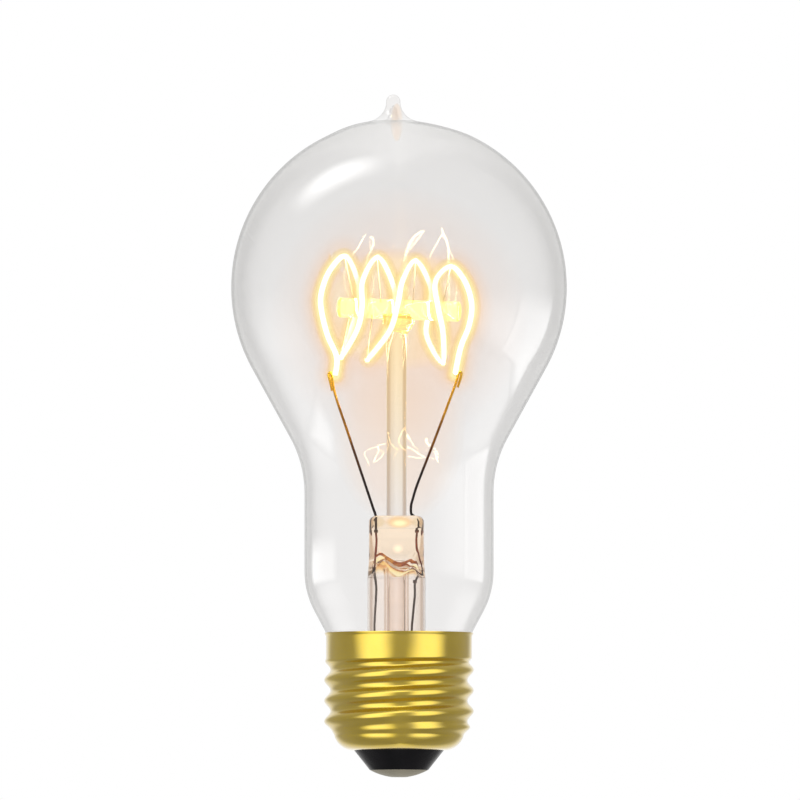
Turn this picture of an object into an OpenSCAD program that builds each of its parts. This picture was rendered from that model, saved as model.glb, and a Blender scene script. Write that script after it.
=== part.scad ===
// Filament bulb: a pear-shaped clear lamp with an exhaust tip, a looped filament hung on a glass
// cross bar, and a rolled brass screw base. Millimetres, +Z up, the contact's lowest point at z = 0.

/* [Glass envelope] */
// Radius of the globe's outside
globe_r = 29.5; // [26:0.1:34]
// Angle of the shoulder cone from the vertical
shoulder_angle = 28.8; // [24:0.1:33]
// Radius of the hollow curve between shoulder and neck
waist_r = 20; // [14:0.5:26]
// Radius of the straight neck's outside
neck_r = 16.6; // [15.5:0.1:18.5]
// Length of the straight neck
neck_h = 13.72; // [8:0.01:22]
// Radius of the turn from the neck into the base
heel_r = 15; // [13:0.5:15.4]
// Angle of the glass from the vertical where it enters the base
heel_angle = 28; // [26:0.5:34]
// Height of the seal between the envelope and the stem
seal_z = 15.5; // [13:0.1:17]
// Thickness of the envelope's glass
glass_wall = 0.7; // [0.5:0.05:1]

/* [Exhaust tip] */
// Height of the tip above the top of the globe
tip_h = 4.5; // [3:0.1:6]
// Radius of the tip's rounded end
tip_r = 1.25; // [1:0.05:1.8]
// Sideways place of the tip
tip_x = -1.2; // [-2:0.1:2]
// Radius of the hollow curve from the globe into the tip
tip_flare_r = 3.2; // [2:0.1:4]

/* [Screw shell] */
// Crest radius of the thread, half of its nominal diameter
thread_crest_r = 13.15; // [13:0.01:13.3]
// Depth of the thread
thread_depth = 1.08; // [0.9:0.01:1.2]
// Pitch of the thread, seven turns to the inch
thread_pitch = 3.629; // [3.4:0.001:3.8]
// Inset of the smooth collar from the thread's crests
collar_inset = 0.32; // [0.1:0.01:0.6]
// Height of the collar's rim
rim_z = 25.3; // [24:0.1:27]
// Outward flare of the rim beyond the collar
rim_flare = 0.27; // [0.1:0.01:0.5]
// Thickness of the rolled brass sheet
sheet = 0.25; // [0.2:0.01:0.35]
// Radius of the hole in the shell's floor
shell_hole_r = 7.9; // [7.2:0.1:8.4]
// Height of the shell's floor above the contact
shell_floor_z = 4.66; // [4.2:0.01:5.4]
// Radius of the turn from the floor to the side
bowl_r = 3.64; // [3:0.02:3.9]
// Thickness of the cement between the glass tail and the thread's root
cement_t = 0.82; // [0.6:0.01:1.2]

/* [Contact and insulator] */
// Radius of the insulator where it meets the contact
insulator_tip_r = 5.13; // [4.6:0.01:6]
// Height of the insulator's lower edge
contact_h = 1.23; // [0.9:0.01:1.8]
// Radius of the small flat at the bottom of the contact
contact_flat_r = 1.3; // [1:0.1:2.4]
// Height of the top of the insulator inside the shell
insulator_top_z = 7.2; // [6.6:0.1:8]
// Thickness of the contact plate
plate_t = 0.4; // [0.3:0.05:0.6]

/* [Stem] */
// Sideways place of the stem in the neck
stem_x = -0.45; // [-0.8:0.05:0.8]
// Outside radius of the flare tube
flare_tube_r = 5.1; // [4.8:0.05:5.6]
// Thickness of the flare tube's glass
flare_wall = 0.8; // [0.6:0.05:0.9]
// Height of the lower end of the press
press_z = 35; // [33:0.1:38]
// Height of the press
press_h = 10.9; // [9:0.1:14]
// Thickness of the press between its flats
press_t = 4.6; // [4:0.1:5.2]
// Outside radius of the exhaust tube
exhaust_r = 2.2; // [1.9:0.05:2.4]
// Bore radius of the exhaust tube
exhaust_bore_r = 1.3; // [1:0.05:1.5]
// Radius of the support rod
rod_r = 1.8; // [1.4:0.05:1.9]

/* [Cross bar] */
// Length of the cross bar
bar_l = 21.9; // [18:0.1:28]
// Radius of the cross bar
bar_r = 1.75; // [1.4:0.05:2.1]
// Depth of the cross bar's middle below the globe's centre
bar_drop = 3.9; // [0:0.1:8]
// Fall of the cross bar towards its right end, in degrees
bar_tilt = 2.7; // [0:0.1:5]
// Turn of the right end towards the front, in degrees
bar_turn = 12; // [0:1:20]
// Radius of the boss that joins the rod to the bar
boss_r = 2.85; // [2.3:0.05:3.2]
// Sideways place of the boss
boss_x = -0.1; // [-0.5:0.05:0.5]

/* [Filament and leads] */
// Diameter of the coiled filament
filament_d = 0.5; // [0.3:0.05:0.6]
// Spread of the filament's loops along the bar
loop_span = 22.9; // [18:0.1:28]
// Reach of the filament's loops above and below the bar
loop_h = 9; // [7:0.1:10]
// Reach of the filament's loops before and behind the bar
loop_depth = 4.2; // [3.6:0.1:5.5]
// Diameter of the support hooks' wire
hook_d = 0.2; // [0.15:0.01:0.3]
// Diameter of the inner leads
lead_d = 0.5; // [0.4:0.05:0.6]
// Depth of the leads inside the flare tube's outside
lead_inset = 1.5; // [1.2:0.05:2]
// Diameter of the seal wires in the press
seal_wire_d = 0.36; // [0.3:0.02:0.44]
// Diameter of the outer leads
outer_lead_d = 0.3; // [0.24:0.02:0.36]

/* [Hidden] */
// Gap between glass or metal parts that fit one inside the other
fit = 0.05;
// Gap round a wire in its hole
wire_fit = 0.03;
// Gap to the shell's faceted inside
shell_fit = 0.1;
// Gap between the glass and the rim of the shell
rim_gap = 0.06;
// Depth to which the tip's flare is sunk in the globe
tip_sink = 0.1;
// Angular steps of round solids, and of the swept wires' sections
$fn = 96;
wire_sides = 8;
shell_steps = 48;

glass = [0.9, 0.93, 0.95, 0.35];

// A point at an angle below the horizontal, as seen from a circle's centre
function swung(centre, r, angle) = centre + r * [cos(angle), -sin(angle)];
function smooth(t) = let (u = min(1, max(0, t))) u * u * (3 - 2 * u);

// Radii of the shell, from its crests inwards
thread_root_r = thread_crest_r - thread_depth;
collar_r = thread_crest_r - collar_inset;
rim_r = collar_r + rim_flare;
tail_r = thread_root_r - sheet - cement_t;

// Driving points of the envelope's outline, as [radius, height]. The glass enters the shell just
// clear of its rim, and the neck, globe and bar stand on that.
turn_r = min(heel_r, neck_r - 0.2);
rim_inner_r = rim_r - sheet - rim_gap;
heel_x = neck_r - turn_r;
neck_low_z = rim_z + turn_r * sin(heel_angle)
    + (heel_x + turn_r * cos(heel_angle) - rim_inner_r) / tan(heel_angle);
waist_x = neck_r + waist_r;
waist_z = neck_low_z + neck_h;
globe_z = waist_z + ((waist_r + globe_r) - waist_x * cos(shoulder_angle)) / sin(shoulder_angle);
globe_c = [0, globe_z];
waist_c = [waist_x, waist_z];
heel_c = [heel_x, neck_low_z];
heel_end = swung(heel_c, turn_r, heel_angle);
tail_top_z = heel_end[1] - (heel_end[0] - tail_r) / tan(heel_angle);
bar_z = globe_z - bar_drop;
press_top_z = press_z + press_h;

// Half outline of the envelope's body, drawn in from the outside by the given depth.
// Each stretch is its own region from one tangent point to the next, so that arcs stay true arcs.
// Regions meet on the outline and overlap by a lap near the axis.
module body_outline(inset) {
    globe = globe_r - inset;
    waist = waist_r + inset;
    heel = turn_r - inset;
    shoulder_top = swung(globe_c, globe, shoulder_angle);
    shoulder_low = swung(waist_c, -waist, shoulder_angle);
    axis_z = waist_c[1] + waist_c[0] * tan(shoulder_angle);
    heel_low = swung(heel_c, heel, heel_angle);
    tail = tail_r - inset;
    tail_z = heel_low[1] - (heel_low[0] - tail) / tan(heel_angle);
    reach = 2 * globe_r;
    lap = 2;
    intersection() {
        translate(globe_c) circle(r = globe);
        polygon([globe_c, swung(globe_c, reach, shoulder_angle), [reach, globe_z + reach],
            [0, globe_z + reach]]);
    }
    polygon([[0, globe_z + lap], shoulder_top, shoulder_low, [0, axis_z - lap]]);
    difference() {
        polygon([[0, waist_c[1]], waist_c, [0, axis_z]]);
        translate(waist_c) circle(r = waist);
    }
    polygon([[0, neck_low_z - lap], [neck_r - inset, neck_low_z], [neck_r - inset, waist_c[1]],
        [0, waist_c[1] + lap]]);
    intersection() {
        translate(heel_c) circle(r = heel);
        polygon([heel_c, heel_c + [reach, 0], swung(heel_c, reach, heel_angle)]);
    }
    polygon([[0, neck_low_z + lap], heel_low, [tail, tail_z], [tail, seal_z], [0, seal_z]]);
}

// Blown glass body with the drawn-off tip on its top, open at the tail
module envelope() {
    top_z = globe_z + globe_r;
    flare_x = tip_r + tip_flare_r;
    flare_c = [flare_x, globe_z + sqrt(pow(globe_r + tip_flare_r, 2) - pow(flare_x, 2)) - tip_sink];
    root = 1.2;
    tip_wall = 0.45;
    color(glass) difference() {
        union() {
            rotate_extrude() body_outline(0);
            translate([tip_x, 0, 0]) rotate_extrude() intersection() {
                union() {
                    translate([0, top_z + tip_h - tip_r]) circle(r = tip_r);
                    translate([0, top_z - root]) square([tip_r, root + tip_h - tip_r]);
                    difference() {
                        translate([0, top_z - root]) square([flare_x, flare_c[1] - top_z + root]);
                        translate(flare_c) circle(r = tip_flare_r);
                    }
                }
                translate([0, top_z - root]) square([flare_x, tip_h + 2 * root]);
            }
        }
        difference() {
            rotate_extrude() body_outline(glass_wall);
            translate([0, 0, seal_z - 1]) cylinder(r = tail_r, h = 1);
        }
        translate([0, 0, seal_z - 0.5]) cylinder(r = tail_r - glass_wall, h = 1);
        translate([tip_x, 0, top_z - 2 * glass_wall])
            cylinder(r1 = tip_r + tip_wall, r2 = tip_r / 5, h = 2 * glass_wall + tip_h / 2);
    }
}

// Tube of the stem, flared out below to a lip that meets the envelope's tail
module flare_tube() {
    lip_inner = tail_r - glass_wall - 0.1;
    lip_outer = tail_r - 0.1;
    lip_z = seal_z - 0.02;
    bend = lip_inner - flare_tube_r;
    bend_c = [lip_inner, lip_z + bend];
    color(glass) translate([stem_x, 0, 0]) rotate_extrude() {
        translate([flare_tube_r - flare_wall, bend_c[1]])
            square([flare_wall, press_z - bend_c[1]]);
        intersection() {
            difference() {
                translate(bend_c) circle(r = bend + flare_wall);
                translate(bend_c) circle(r = bend);
            }
            translate([0, lip_z - flare_wall]) square([lip_inner, bend + flare_wall]);
        }
        translate([lip_inner, lip_z - flare_wall]) square([lip_outer - lip_inner, flare_wall]);
    }
}

// Places of the two leads in the press
lead_reach = flare_tube_r - lead_inset;
lead_x = [stem_x - lead_reach, stem_x + lead_reach];
knot_r = lead_d * 0.75;
knot_h = 0.5;
knot_z = press_top_z - 3;
roof_r = flare_tube_r - flare_wall;
// The roof under the press is part of a ball that lies off the axis, so it slants
ball_r = roof_r + 0.3;
ball_c = [stem_x - 1, 0, press_z - 0.4];
function roof_z(x) = max(press_z, ball_c[2] + sqrt(max(0, pow(ball_r, 2) - pow(x - ball_c[0], 2))));
function seal_low_z(side) = roof_z(lead_x[side]) - 0.9;
// Ways of the two inner leads up through the bead, from the knots. The right one winds a little.
LEAD_WAYS = [[[0, 0, knot_z + knot_h], [0, 0, press_top_z + 0.3]],
    [[0, 0, knot_z + knot_h], [0, 0, knot_z + knot_h + 0.3], [0.4, 0, press_top_z - 1.2],
    [0.1, 0, press_top_z - 0.5], [-0.95, 0, press_top_z + 0.3]]];
function lead_way(side) = [for (p = LEAD_WAYS[side]) [lead_x[side] + p[0], p[1], p[2]]];

// Top of the tube, softened and pinched flat on the wires, with a bead along its upper edge
module stem_press() {
    flat_r = flare_tube_r - 0.25;
    taper_h = 3;
    bead_h = 2.3;
    bead_t = press_t + 0.8;
    bead_round = 0.8;
    vent_z = ball_c[2] + ball_r + 0.5;
    vent_r = 0.9;
    color(glass) difference() {
        intersection() {
            translate([stem_x, 0, 0]) rotate_extrude() {
                polygon([[0, press_z], [flare_tube_r, press_z], [flat_r, press_z + taper_h],
                    [flat_r, press_top_z - bead_h / 2], [0, press_top_z - bead_h / 2]]);
                translate([0, press_top_z - bead_h]) square([flat_r - bead_h / 2, bead_h]);
                translate([flat_r - bead_h / 2, press_top_z - bead_h / 2]) circle(r = bead_h / 2);
            }
            translate([stem_x - 10, 0, 0]) rotate([90, 0, 90]) linear_extrude(20) {
                intersection() {
                    translate([0, press_z - 0.4]) circle(r = flare_tube_r + 0.2);
                    translate([-10, press_z]) square([20, 10]);
                }
                translate([-press_t / 2, press_z]) square([press_t, press_top_z - press_z - 1.2]);
                translate([-bead_t / 2, press_top_z - bead_h + bead_round])
                    square([bead_t, bead_h - 2 * bead_round]);
                translate([bead_round - bead_t / 2, press_top_z - bead_h])
                    square([bead_t - 2 * bead_round, bead_h]);
                for (side = [-1, 1], z = [press_top_z - bead_h + bead_round, press_top_z - bead_round])
                    translate([side * (bead_t / 2 - bead_round), z]) circle(r = bead_round);
            }
        }
        intersection() {
            translate(ball_c) sphere(r = ball_r);
            translate([stem_x, 0, press_z - 1]) cylinder(r = roof_r, h = press_h);
        }
        for (side = [0, 1]) {
            way = lead_way(side);
            lead_bore = lead_d / 2 + wire_fit;
            translate([lead_x[side], 0, press_z])
                cylinder(r = seal_wire_d / 2 + wire_fit, h = knot_z - press_z);
            translate([lead_x[side], 0, knot_z - wire_fit])
                cylinder(r = knot_r + wire_fit, h = knot_h + 2 * wire_fit);
            drill(way[0] - [0, 0, 0.1], way[1], lead_bore);
            for (i = [1 : len(way) - 1]) {
                translate(way[i]) sphere(r = lead_bore + 0.02);
                drill(way[i - 1], way[i], lead_bore);
            }
            drill(way[len(way) - 1], way[len(way) - 1] + [0, 0, 3], lead_bore);
        }
        translate([stem_x, 0, vent_z]) rotate([90, 0, 0]) cylinder(r = vent_r, h = 10);
        translate([stem_x, 0, press_z]) cylinder(r = exhaust_bore_r, h = vent_z - press_z);
    }
}

exhaust_low_z = insulator_top_z + 3;

// Tube through which the lamp was pumped, joined to the roof and melted shut at its lower end
module exhaust_tube() {
    top_z = press_z + press_h / 2;
    color(glass) intersection() {
        translate([stem_x, 0, 0]) rotate_extrude() difference() {
            union() {
                translate([0, exhaust_low_z + exhaust_r])
                    square([exhaust_r, top_z - exhaust_low_z - exhaust_r]);
                intersection() {
                    translate([0, exhaust_low_z + exhaust_r]) circle(r = exhaust_r);
                    translate([0, exhaust_low_z]) square(exhaust_r);
                }
            }
            translate([0, exhaust_low_z + 2 * exhaust_r]) square([exhaust_bore_r, top_z]);
        }
        union() {
            translate(ball_c) sphere(r = ball_r - fit);
            cylinder(r = globe_r, h = press_z);
        }
    }
}

// Moves what lies along X about the origin to the cross bar's place
module at_bar() {
    translate([0, 0, bar_z]) rotate([0, 0, -bar_turn]) rotate([0, bar_tilt, 0]) children();
}

// Glass rod from the press up to the bar, swelling into a boss that saddles it
module support_rod() {
    boss_low_z = bar_z - bar_r - 1.3;
    boss_round = 0.7;
    funnel_angle = 35;
    saddle_h = 0.9;
    round_c = [boss_r - boss_round, boss_low_z + boss_round];
    funnel_top = swung(round_c, boss_round * 0.93, funnel_angle);
    funnel_low_z = funnel_top[1] - (funnel_top[0] - rod_r / 2) / tan(funnel_angle);
    color(glass) difference() {
        union() {
            translate([stem_x, 0, press_top_z]) cylinder(r = rod_r, h = round_c[1] - press_top_z);
            translate([boss_x, 0, 0]) rotate_extrude() {
                polygon([[0, funnel_low_z], [rod_r / 2, funnel_low_z], funnel_top, round_c,
                    [0, round_c[1]]]);
                translate(round_c) circle(r = boss_round);
                translate([0, boss_low_z + boss_round])
                    square([boss_r, bar_z - saddle_h - boss_low_z - boss_round]);
            }
        }
        at_bar() rotate([0, 90, 0]) cylinder(r = bar_r + fit / 2, h = bar_l, center = true);
    }
}

// The filament's route round the bar. x is a share of the loops' half span, y of their depth,
// with minus at the front, and z of their height. It climbs in front and falls behind.
ROUTE = [[-1.00, 0, -1.32], [-0.98, -0.15, -0.97], [-1.13, -0.5, -0.54], [-1.23, -0.7, 0.02],
    [-1.19, -0.65, 0.40], [-1.06, -0.4, 0.76], [-0.84, 0, 1.01],
    [-0.66, 0.75, 0.60], [-0.63, 1, 0.12], [-0.78, 0.8, -0.50], [-0.91, 0, -0.98],
    [-0.66, -0.8, -0.45], [-0.58, -1, 0.00], [-0.57, -0.85, 0.52], [-0.34, 0, 1.01],
    [-0.12, 0.75, 0.60], [-0.06, 1, 0.12], [-0.22, 0.8, -0.50], [-0.50, 0, -1.01],
    [-0.15, -0.8, -0.45], [-0.02, -1, 0.08], [0.06, -0.8, 0.56], [0.26, 0, 0.97],
    [0.48, 0.75, 0.55], [0.50, 1, 0.14], [0.43, 0.8, -0.45], [0.68, 0, -1.01],
    [0.69, -0.8, -0.45], [0.62, -1, 0.00], [0.57, -0.75, 0.55], [0.81, 0, 0.88],
    [1.03, 0.45, 0.62], [1.14, 0.6, 0.18], [1.10, 0.45, -0.25], [0.97, 0.15, -0.68], [0.88, 0, -1.22]];
// Stations on the route that rest on the upper and lower hooks
TOPS = [6, 14, 22, 30];
BOTTOMS = [10, 18, 26];
half_span = loop_span / 2 * cos(bar_turn);
function bar_point(x, y, z) = [x * half_span, y * loop_depth - x * half_span * tan(bar_turn),
    bar_z + z * loop_h - x * half_span * tan(bar_tilt)];
route = [for (p = ROUTE) bar_point(p[0], p[1], p[2])];

// A point of the smooth curve through the given points, a share t past point i
function at(points, i) = points[min(len(points) - 1, max(0, i))];
function between(points, i, t) = let (a = at(points, i - 1), b = at(points, i),
    c = at(points, i + 1), d = at(points, i + 2))
    0.5 * (2 * b + t * (c - a) + t * t * (2 * a - 5 * b + 4 * c - d)
        + t * t * t * (3 * b - a - 3 * c + d));
function curve(points, steps) = [for (i = [0 : len(points) - 2], k = [0 : steps - 1])
    between(points, i, k / steps), points[len(points) - 1]];

function unit(v) = v / norm(v);
// Directions across a path at each of its points, each turned as little as can be from the last
function run(path, i) = unit(at(path, i + 1) - at(path, i - 1));
function carried(path, n, i) = let (t = run(path, i), m = n - (n * t) * t)
    i == len(path) - 1 ? [unit(m)] : concat([unit(m)], carried(path, unit(m), i + 1));
function first_normal(t) = let (side = abs(t[2]) < 0.8 ? [0, 0, 1] : [1, 0, 0]) unit(cross(t, side));

// Round wire of radius r along a path
module wire(path, r, sides = wire_sides) {
    n = len(path);
    across = carried(path, first_normal(run(path, 0)), 0);
    points = [for (i = [0 : n - 1], k = [0 : sides - 1])
        let (a = 360 * k / sides, up = cross(run(path, i), across[i]))
        path[i] + r * (cos(a) * across[i] + sin(a) * up)];
    walls = [for (i = [0 : n - 2], k = [0 : sides - 1]) let (next = (k + 1) % sides)
        each [[i * sides + k, (i + 1) * sides + next, i * sides + next],
            [i * sides + k, (i + 1) * sides + k, (i + 1) * sides + next]]];
    ends = [[for (k = [0 : sides - 1]) k], [for (k = [sides - 1 : -1 : 0]) (n - 1) * sides + k]];
    polyhedron(points, concat(walls, ends), convexity = 10);
}

module filament() {
    color([1, 0.75, 0.35]) wire(curve(route, 4), filament_d / 2);
}

// Hook wire from its hole in the bar to a pigtail turned round the filament at a station
hook_seat = bar_r - 0.9;
hook_eye_r = filament_d / 2 + hook_d / 2 + 0.08;
function eye_axis(station) = unit(between(route, station, 0.1) - between(route, station - 1, 0.9));
function hook_root(station) = bar_point(ROUTE[station][0] * 0.82, 0, 0);
function eye_side(station) = let (axis = eye_axis(station), way = hook_root(station) - route[station])
    unit(way - (way * axis) * axis);
function hook_start(station) = route[station] + hook_eye_r * eye_side(station);
function hook_shank(station) = unit(hook_start(station) - hook_root(station));

module hook(station, side) {
    axis = eye_axis(station);
    near = eye_side(station);
    over = cross(axis, near);
    shank = hook_shank(station);
    eye_turn = [for (a = [0 : 30 : 300]) route[station] + a / 300 * hook_d * 1.3 * axis
        + hook_eye_r * (cos(a) * near + side * sin(a) * over)];
    path = concat([hook_root(station) + hook_seat * shank, hook_root(station) + (bar_r + 0.6) * shank,
        hook_start(station) - 1.2 * shank], eye_turn);
    color("silver") wire(path, hook_d / 2, 6);
}

// Straight round drill from one point to another
module drill(start, end, r) {
    way = end - start;
    translate(start) rotate([0, acos(way[2] / norm(way)), atan2(way[1], way[0])])
        cylinder(r = r, h = norm(way));
}

module hook_holes() {
    for (station = concat(TOPS, BOTTOMS)) let (root = hook_root(station), shank = hook_shank(station))
        drill(root + (hook_seat - fit) * shank, root + 2 * bar_r * shank, hook_d / 2 + wire_fit);
}

// Glass bar with rounded ends, drilled for the hooks
module cross_bar() {
    edge = 0.5;
    color(glass) difference() {
        at_bar() rotate([0, 90, 0]) rotate_extrude() {
            translate([0, -bar_l / 2]) square([bar_r - edge, bar_l]);
            translate([0, edge - bar_l / 2]) square([bar_r, bar_l - 2 * edge]);
            for (end = [edge - bar_l / 2, bar_l / 2 - edge])
                translate([bar_r - edge, end]) circle(r = edge);
        }
        hook_holes();
    }
}

module knot(x, z) {
    translate([x, 0, z]) cylinder(r = knot_r, h = knot_h);
}

// Wire of the seal between its two weld knots, in the press
module seal_wire(side) {
    low_z = seal_low_z(side);
    color("brown") {
        translate([lead_x[side], 0, low_z - knot_h / 2])
            cylinder(r = seal_wire_d / 2, h = knot_z - low_z + knot_h);
        knot(lead_x[side], knot_z);
        knot(lead_x[side], low_z - knot_h);
    }
}

// Inner lead from its weld knot up to the filament's end, folded over there as a clamp
module inner_lead(lead, bend, end) {
    way = lead_way(lead);
    low = way[len(way) - 1] + [0, 0, 0.7];
    elbow = [bend[0], bend[1], press_top_z + bend[2]];
    tip = route[end];
    side = sign(tip[0]);
    rise = unit(tip - elbow);
    top = tip + [side * ((filament_d + lead_d) / 2 + 3 * fit), 0, 0.3];
    path = concat(way, curve([low, elbow, elbow + 0.25 * (top - elbow), elbow + 0.5 * (top - elbow),
        elbow + 0.75 * (top - elbow), top - 0.9 * rise, top], 2));
    fold = [top + [side * lead_d * 0.55, 0, 0.1], top + [side * lead_d * 1.1, 0, -0.5],
        top - 3.2 * rise + [side * lead_d * 1.15, 0, 0]];
    color([0.72, 0.45, 0.2]) wire(concat(path, fold), lead_d / 2);
}

// Outer leads, down inside the flare tube to the contact and to the shell
shell_join_z = rim_z - 2.2;
solder_r = 0.75;
module contact_lead() {
    x = lead_x[1];
    plate_z = contact_h + plate_t;
    low_z = seal_low_z(1) - knot_h;
    color([0.6, 0.35, 0.2]) wire(concat([[x, 0, low_z], [x, 0, low_z - 1.5]],
        curve([[x - 0.1, 0, 30], [x - 0.35, 0.1, 22], [x - 0.2, 0.6, 15],
            [1.9, 0.8, insulator_top_z + 1.8], [0.2, 0, insulator_top_z + 0.9]], 4),
        [[0, 0, insulator_top_z + 0.3], [0, 0, plate_z - 0.3]]),
        outer_lead_d / 2);
}

module shell_lead() {
    x = lead_x[0];
    out = (tail_r + thread_root_r - sheet) / 2;
    join_r = collar_r - sheet - outer_lead_d / 2 - fit;
    low_z = seal_low_z(0) - knot_h;
    color([0.6, 0.35, 0.2]) wire(concat([[x, 0, low_z], [x, 0, low_z - 2.5]],
        curve([[x, 0, 28], [x + 0.2, 0.4, 22], [x + 0.4, 2.4, 16], [-2, 6.8, seal_z - 3],
            [-0.5, out - 1, seal_z - 2.6], [0, out, seal_z - 0.6],
            [0, out, (seal_z + shell_join_z) / 2 - 1],
            [0, out, shell_join_z - 2.4], [0, join_r, shell_join_z - solder_r - fit]], 4)),
        outer_lead_d / 2);
}

// Thread and profile of the screw shell. Rows run up the outside, from the hole's edge to the rim.
bowl_c = [shell_hole_r, shell_floor_z + bowl_r];
bowl_end = 20;
thread_low_z = bowl_c[1] - bowl_r * sin(bowl_end);
thread_top_z = rim_z - 4.4;
thread_mean_r = (thread_crest_r + thread_root_r) / 2;
thread_deep = (thread_crest_r - thread_root_r) / 2;
crest_z = 13.4;
function thread_fade(z) = smooth((z - thread_low_z - 0.4) / 2)
    * (1 - smooth((z - thread_top_z + 1) / 1.1));
function plain_r(z) = let (bowl_top_r = bowl_c[0] + bowl_r * cos(bowl_end))
    bowl_top_r + (thread_mean_r - bowl_top_r) * smooth((z - thread_low_z) / 2.2)
        + (collar_r - thread_mean_r) * smooth((z - thread_top_z + 1) / 1.1);
function side_r(angle, z) = plain_r(z)
    + thread_deep * thread_fade(z) * cos(360 * (z - crest_z) / thread_pitch - angle + 180);

// Rolled brass cup with a right-hand thread, a smooth collar and a flared rim
module screw_shell() {
    steps = shell_steps;
    bowl_angles = [90 : -14 : bowl_end];
    thread_rows = 34;
    thread_span = thread_top_z - thread_low_z;
    side_z = concat([for (k = [0 : thread_rows]) thread_low_z + thread_span * k / thread_rows],
        [thread_top_z + 0.5, rim_z - 0.7, rim_z - 0.3, rim_z]);
    function flare(z) = (rim_r - collar_r) * smooth((z - rim_z + 0.7) / 0.7);
    function ring(r, z) = [for (k = [0 : steps - 1]) let (a = 360 * k / steps)
        [r * cos(a), r * sin(a), z]];
    function side_ring(z, t) = [for (k = [0 : steps - 1])
        let (a = 360 * k / steps, r = side_r(a, z) + flare(z) - t) [r * cos(a), r * sin(a), z]];
    function bowl_rings(r) = [for (a = bowl_angles) let (p = swung(bowl_c, r, a)) ring(p[0], p[1])];
    outside = concat(bowl_rings(bowl_r), [for (z = side_z) side_ring(z, 0)]);
    inside = concat(bowl_rings(bowl_r - sheet), [for (z = side_z) side_ring(z, sheet)]);
    rows = concat(outside, [for (i = [len(inside) - 1 : -1 : 0]) inside[i]]);
    n = len(rows);
    faces = [for (i = [0 : n - 1], k = [0 : steps - 1])
        let (a = i * steps + k, b = i * steps + (k + 1) % steps,
            c = ((i + 1) % n) * steps + (k + 1) % steps, d = ((i + 1) % n) * steps + k)
        each [[a, d, c], [a, c, b]]];
    color([0.78, 0.64, 0.25]) polyhedron([for (row = rows) each row], faces, convexity = 10);
}

// Cement between the glass tail and the shell, with a channel for the shell's lead
module basing_cement() {
    channel_w = 2;
    low_z = seal_z + 0.6;
    top_z = rim_z - 1;
    root = thread_root_r - sheet - shell_fit;
    collar = collar_r - sheet - shell_fit;
    slope = tan(heel_angle);
    glass_r = tail_r + fit;
    color("tan") difference() {
        rotate_extrude() difference() {
            polygon([[0, low_z], [root, low_z], [root, thread_top_z - 0.4],
                [collar, thread_top_z + 0.5], [collar, top_z], [0, top_z]]);
            polygon([[-1, low_z - 1], [glass_r, low_z - 1], [glass_r, tail_top_z],
                [glass_r + (top_z + 1 - tail_top_z) * slope, top_z + 1], [-1, top_z + 1]]);
        }
        translate([-channel_w / 2, tail_r - 1, 0]) cube([channel_w, collar_r, rim_z]);
    }
}

// Black glass that fills the shell's floor and carries the contact
module insulator() {
    flange_r = bowl_r - sheet - shell_fit;
    neck = shell_hole_r - fit;
    lead_bore = outer_lead_d / 2 + fit;
    color([0.08, 0.07, 0.09]) rotate_extrude() difference() {
        union() {
            polygon([[0, contact_h], [insulator_tip_r, contact_h], [neck, shell_floor_z],
                [neck, shell_floor_z + 1], [0, shell_floor_z + 1]]);
            intersection() {
                union() {
                    translate(bowl_c) circle(r = flange_r);
                    square([bowl_c[0], insulator_top_z]);
                }
                translate([0, bowl_c[1] - flange_r])
                    square([bowl_c[0] + bowl_r, insulator_top_z - bowl_c[1] + flange_r]);
            }
        }
        square([lead_bore, insulator_top_z + 1]);
        translate([0, contact_h - 1]) square([insulator_tip_r - 0.25, 1 + plate_t]);
    }
}

// Brass plate let into the insulator, with a hole for its lead
module contact_plate() {
    color([0.7, 0.6, 0.35]) translate([0, 0, contact_h]) difference() {
        cylinder(r = insulator_tip_r - 0.3, h = plate_t);
        translate([0, 0, -1]) cylinder(r = outer_lead_d / 2 + fit, h = 3);
    }
}

// Low dome of solder under the plate, worn flat at its lowest point
module contact_solder() {
    edge_r = insulator_tip_r - 0.05;
    dome_z = ((pow(edge_r, 2) - pow(contact_flat_r, 2)) / contact_h + contact_h) / 2;
    color([0.5, 0.5, 0.48]) intersection() {
        translate([0, 0, dome_z]) sphere(r = norm([dome_z, contact_flat_r]));
        cylinder(r = edge_r + 1, h = contact_h);
    }
}

// Bead of solder that joins the shell lead to the collar's inside
module shell_solder() {
    color("silver") difference() {
        translate([0, collar_r - sheet - 0.6, shell_join_z]) sphere(r = solder_r);
        difference() {
            cylinder(r = 20, h = 40);
            cylinder(r = collar_r - sheet - shell_fit, h = 40);
        }
        rotate_extrude() polygon([[0, 0], [tail_r + fit, 0], [tail_r + fit, tail_top_z],
            [tail_r + fit + (rim_z - tail_top_z) * tan(heel_angle), rim_z], [0, rim_z]]);
    }
}

envelope();
flare_tube();
stem_press();
exhaust_tube();
support_rod();
cross_bar();
filament();
hook(TOPS[0], 1);  // top_hook_1
hook(TOPS[1], 1);  // top_hook_2
hook(TOPS[2], 1);  // top_hook_3
hook(TOPS[3], 1);  // top_hook_4
hook(BOTTOMS[0], -1);  // bottom_hook_1
hook(BOTTOMS[1], -1);  // bottom_hook_2
hook(BOTTOMS[2], -1);  // bottom_hook_3
inner_lead(0, [-6.52, 0, 6.3], 0);  // left_inner_lead
inner_lead(1, [3.8, 0, 6.3], len(route) - 1);  // right_inner_lead
seal_wire(0);  // left_seal_wire
seal_wire(1);  // right_seal_wire
shell_lead();
contact_lead();
screw_shell();
basing_cement();
insulator();
contact_plate();
contact_solder();
shell_solder();
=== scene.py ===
import math

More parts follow.
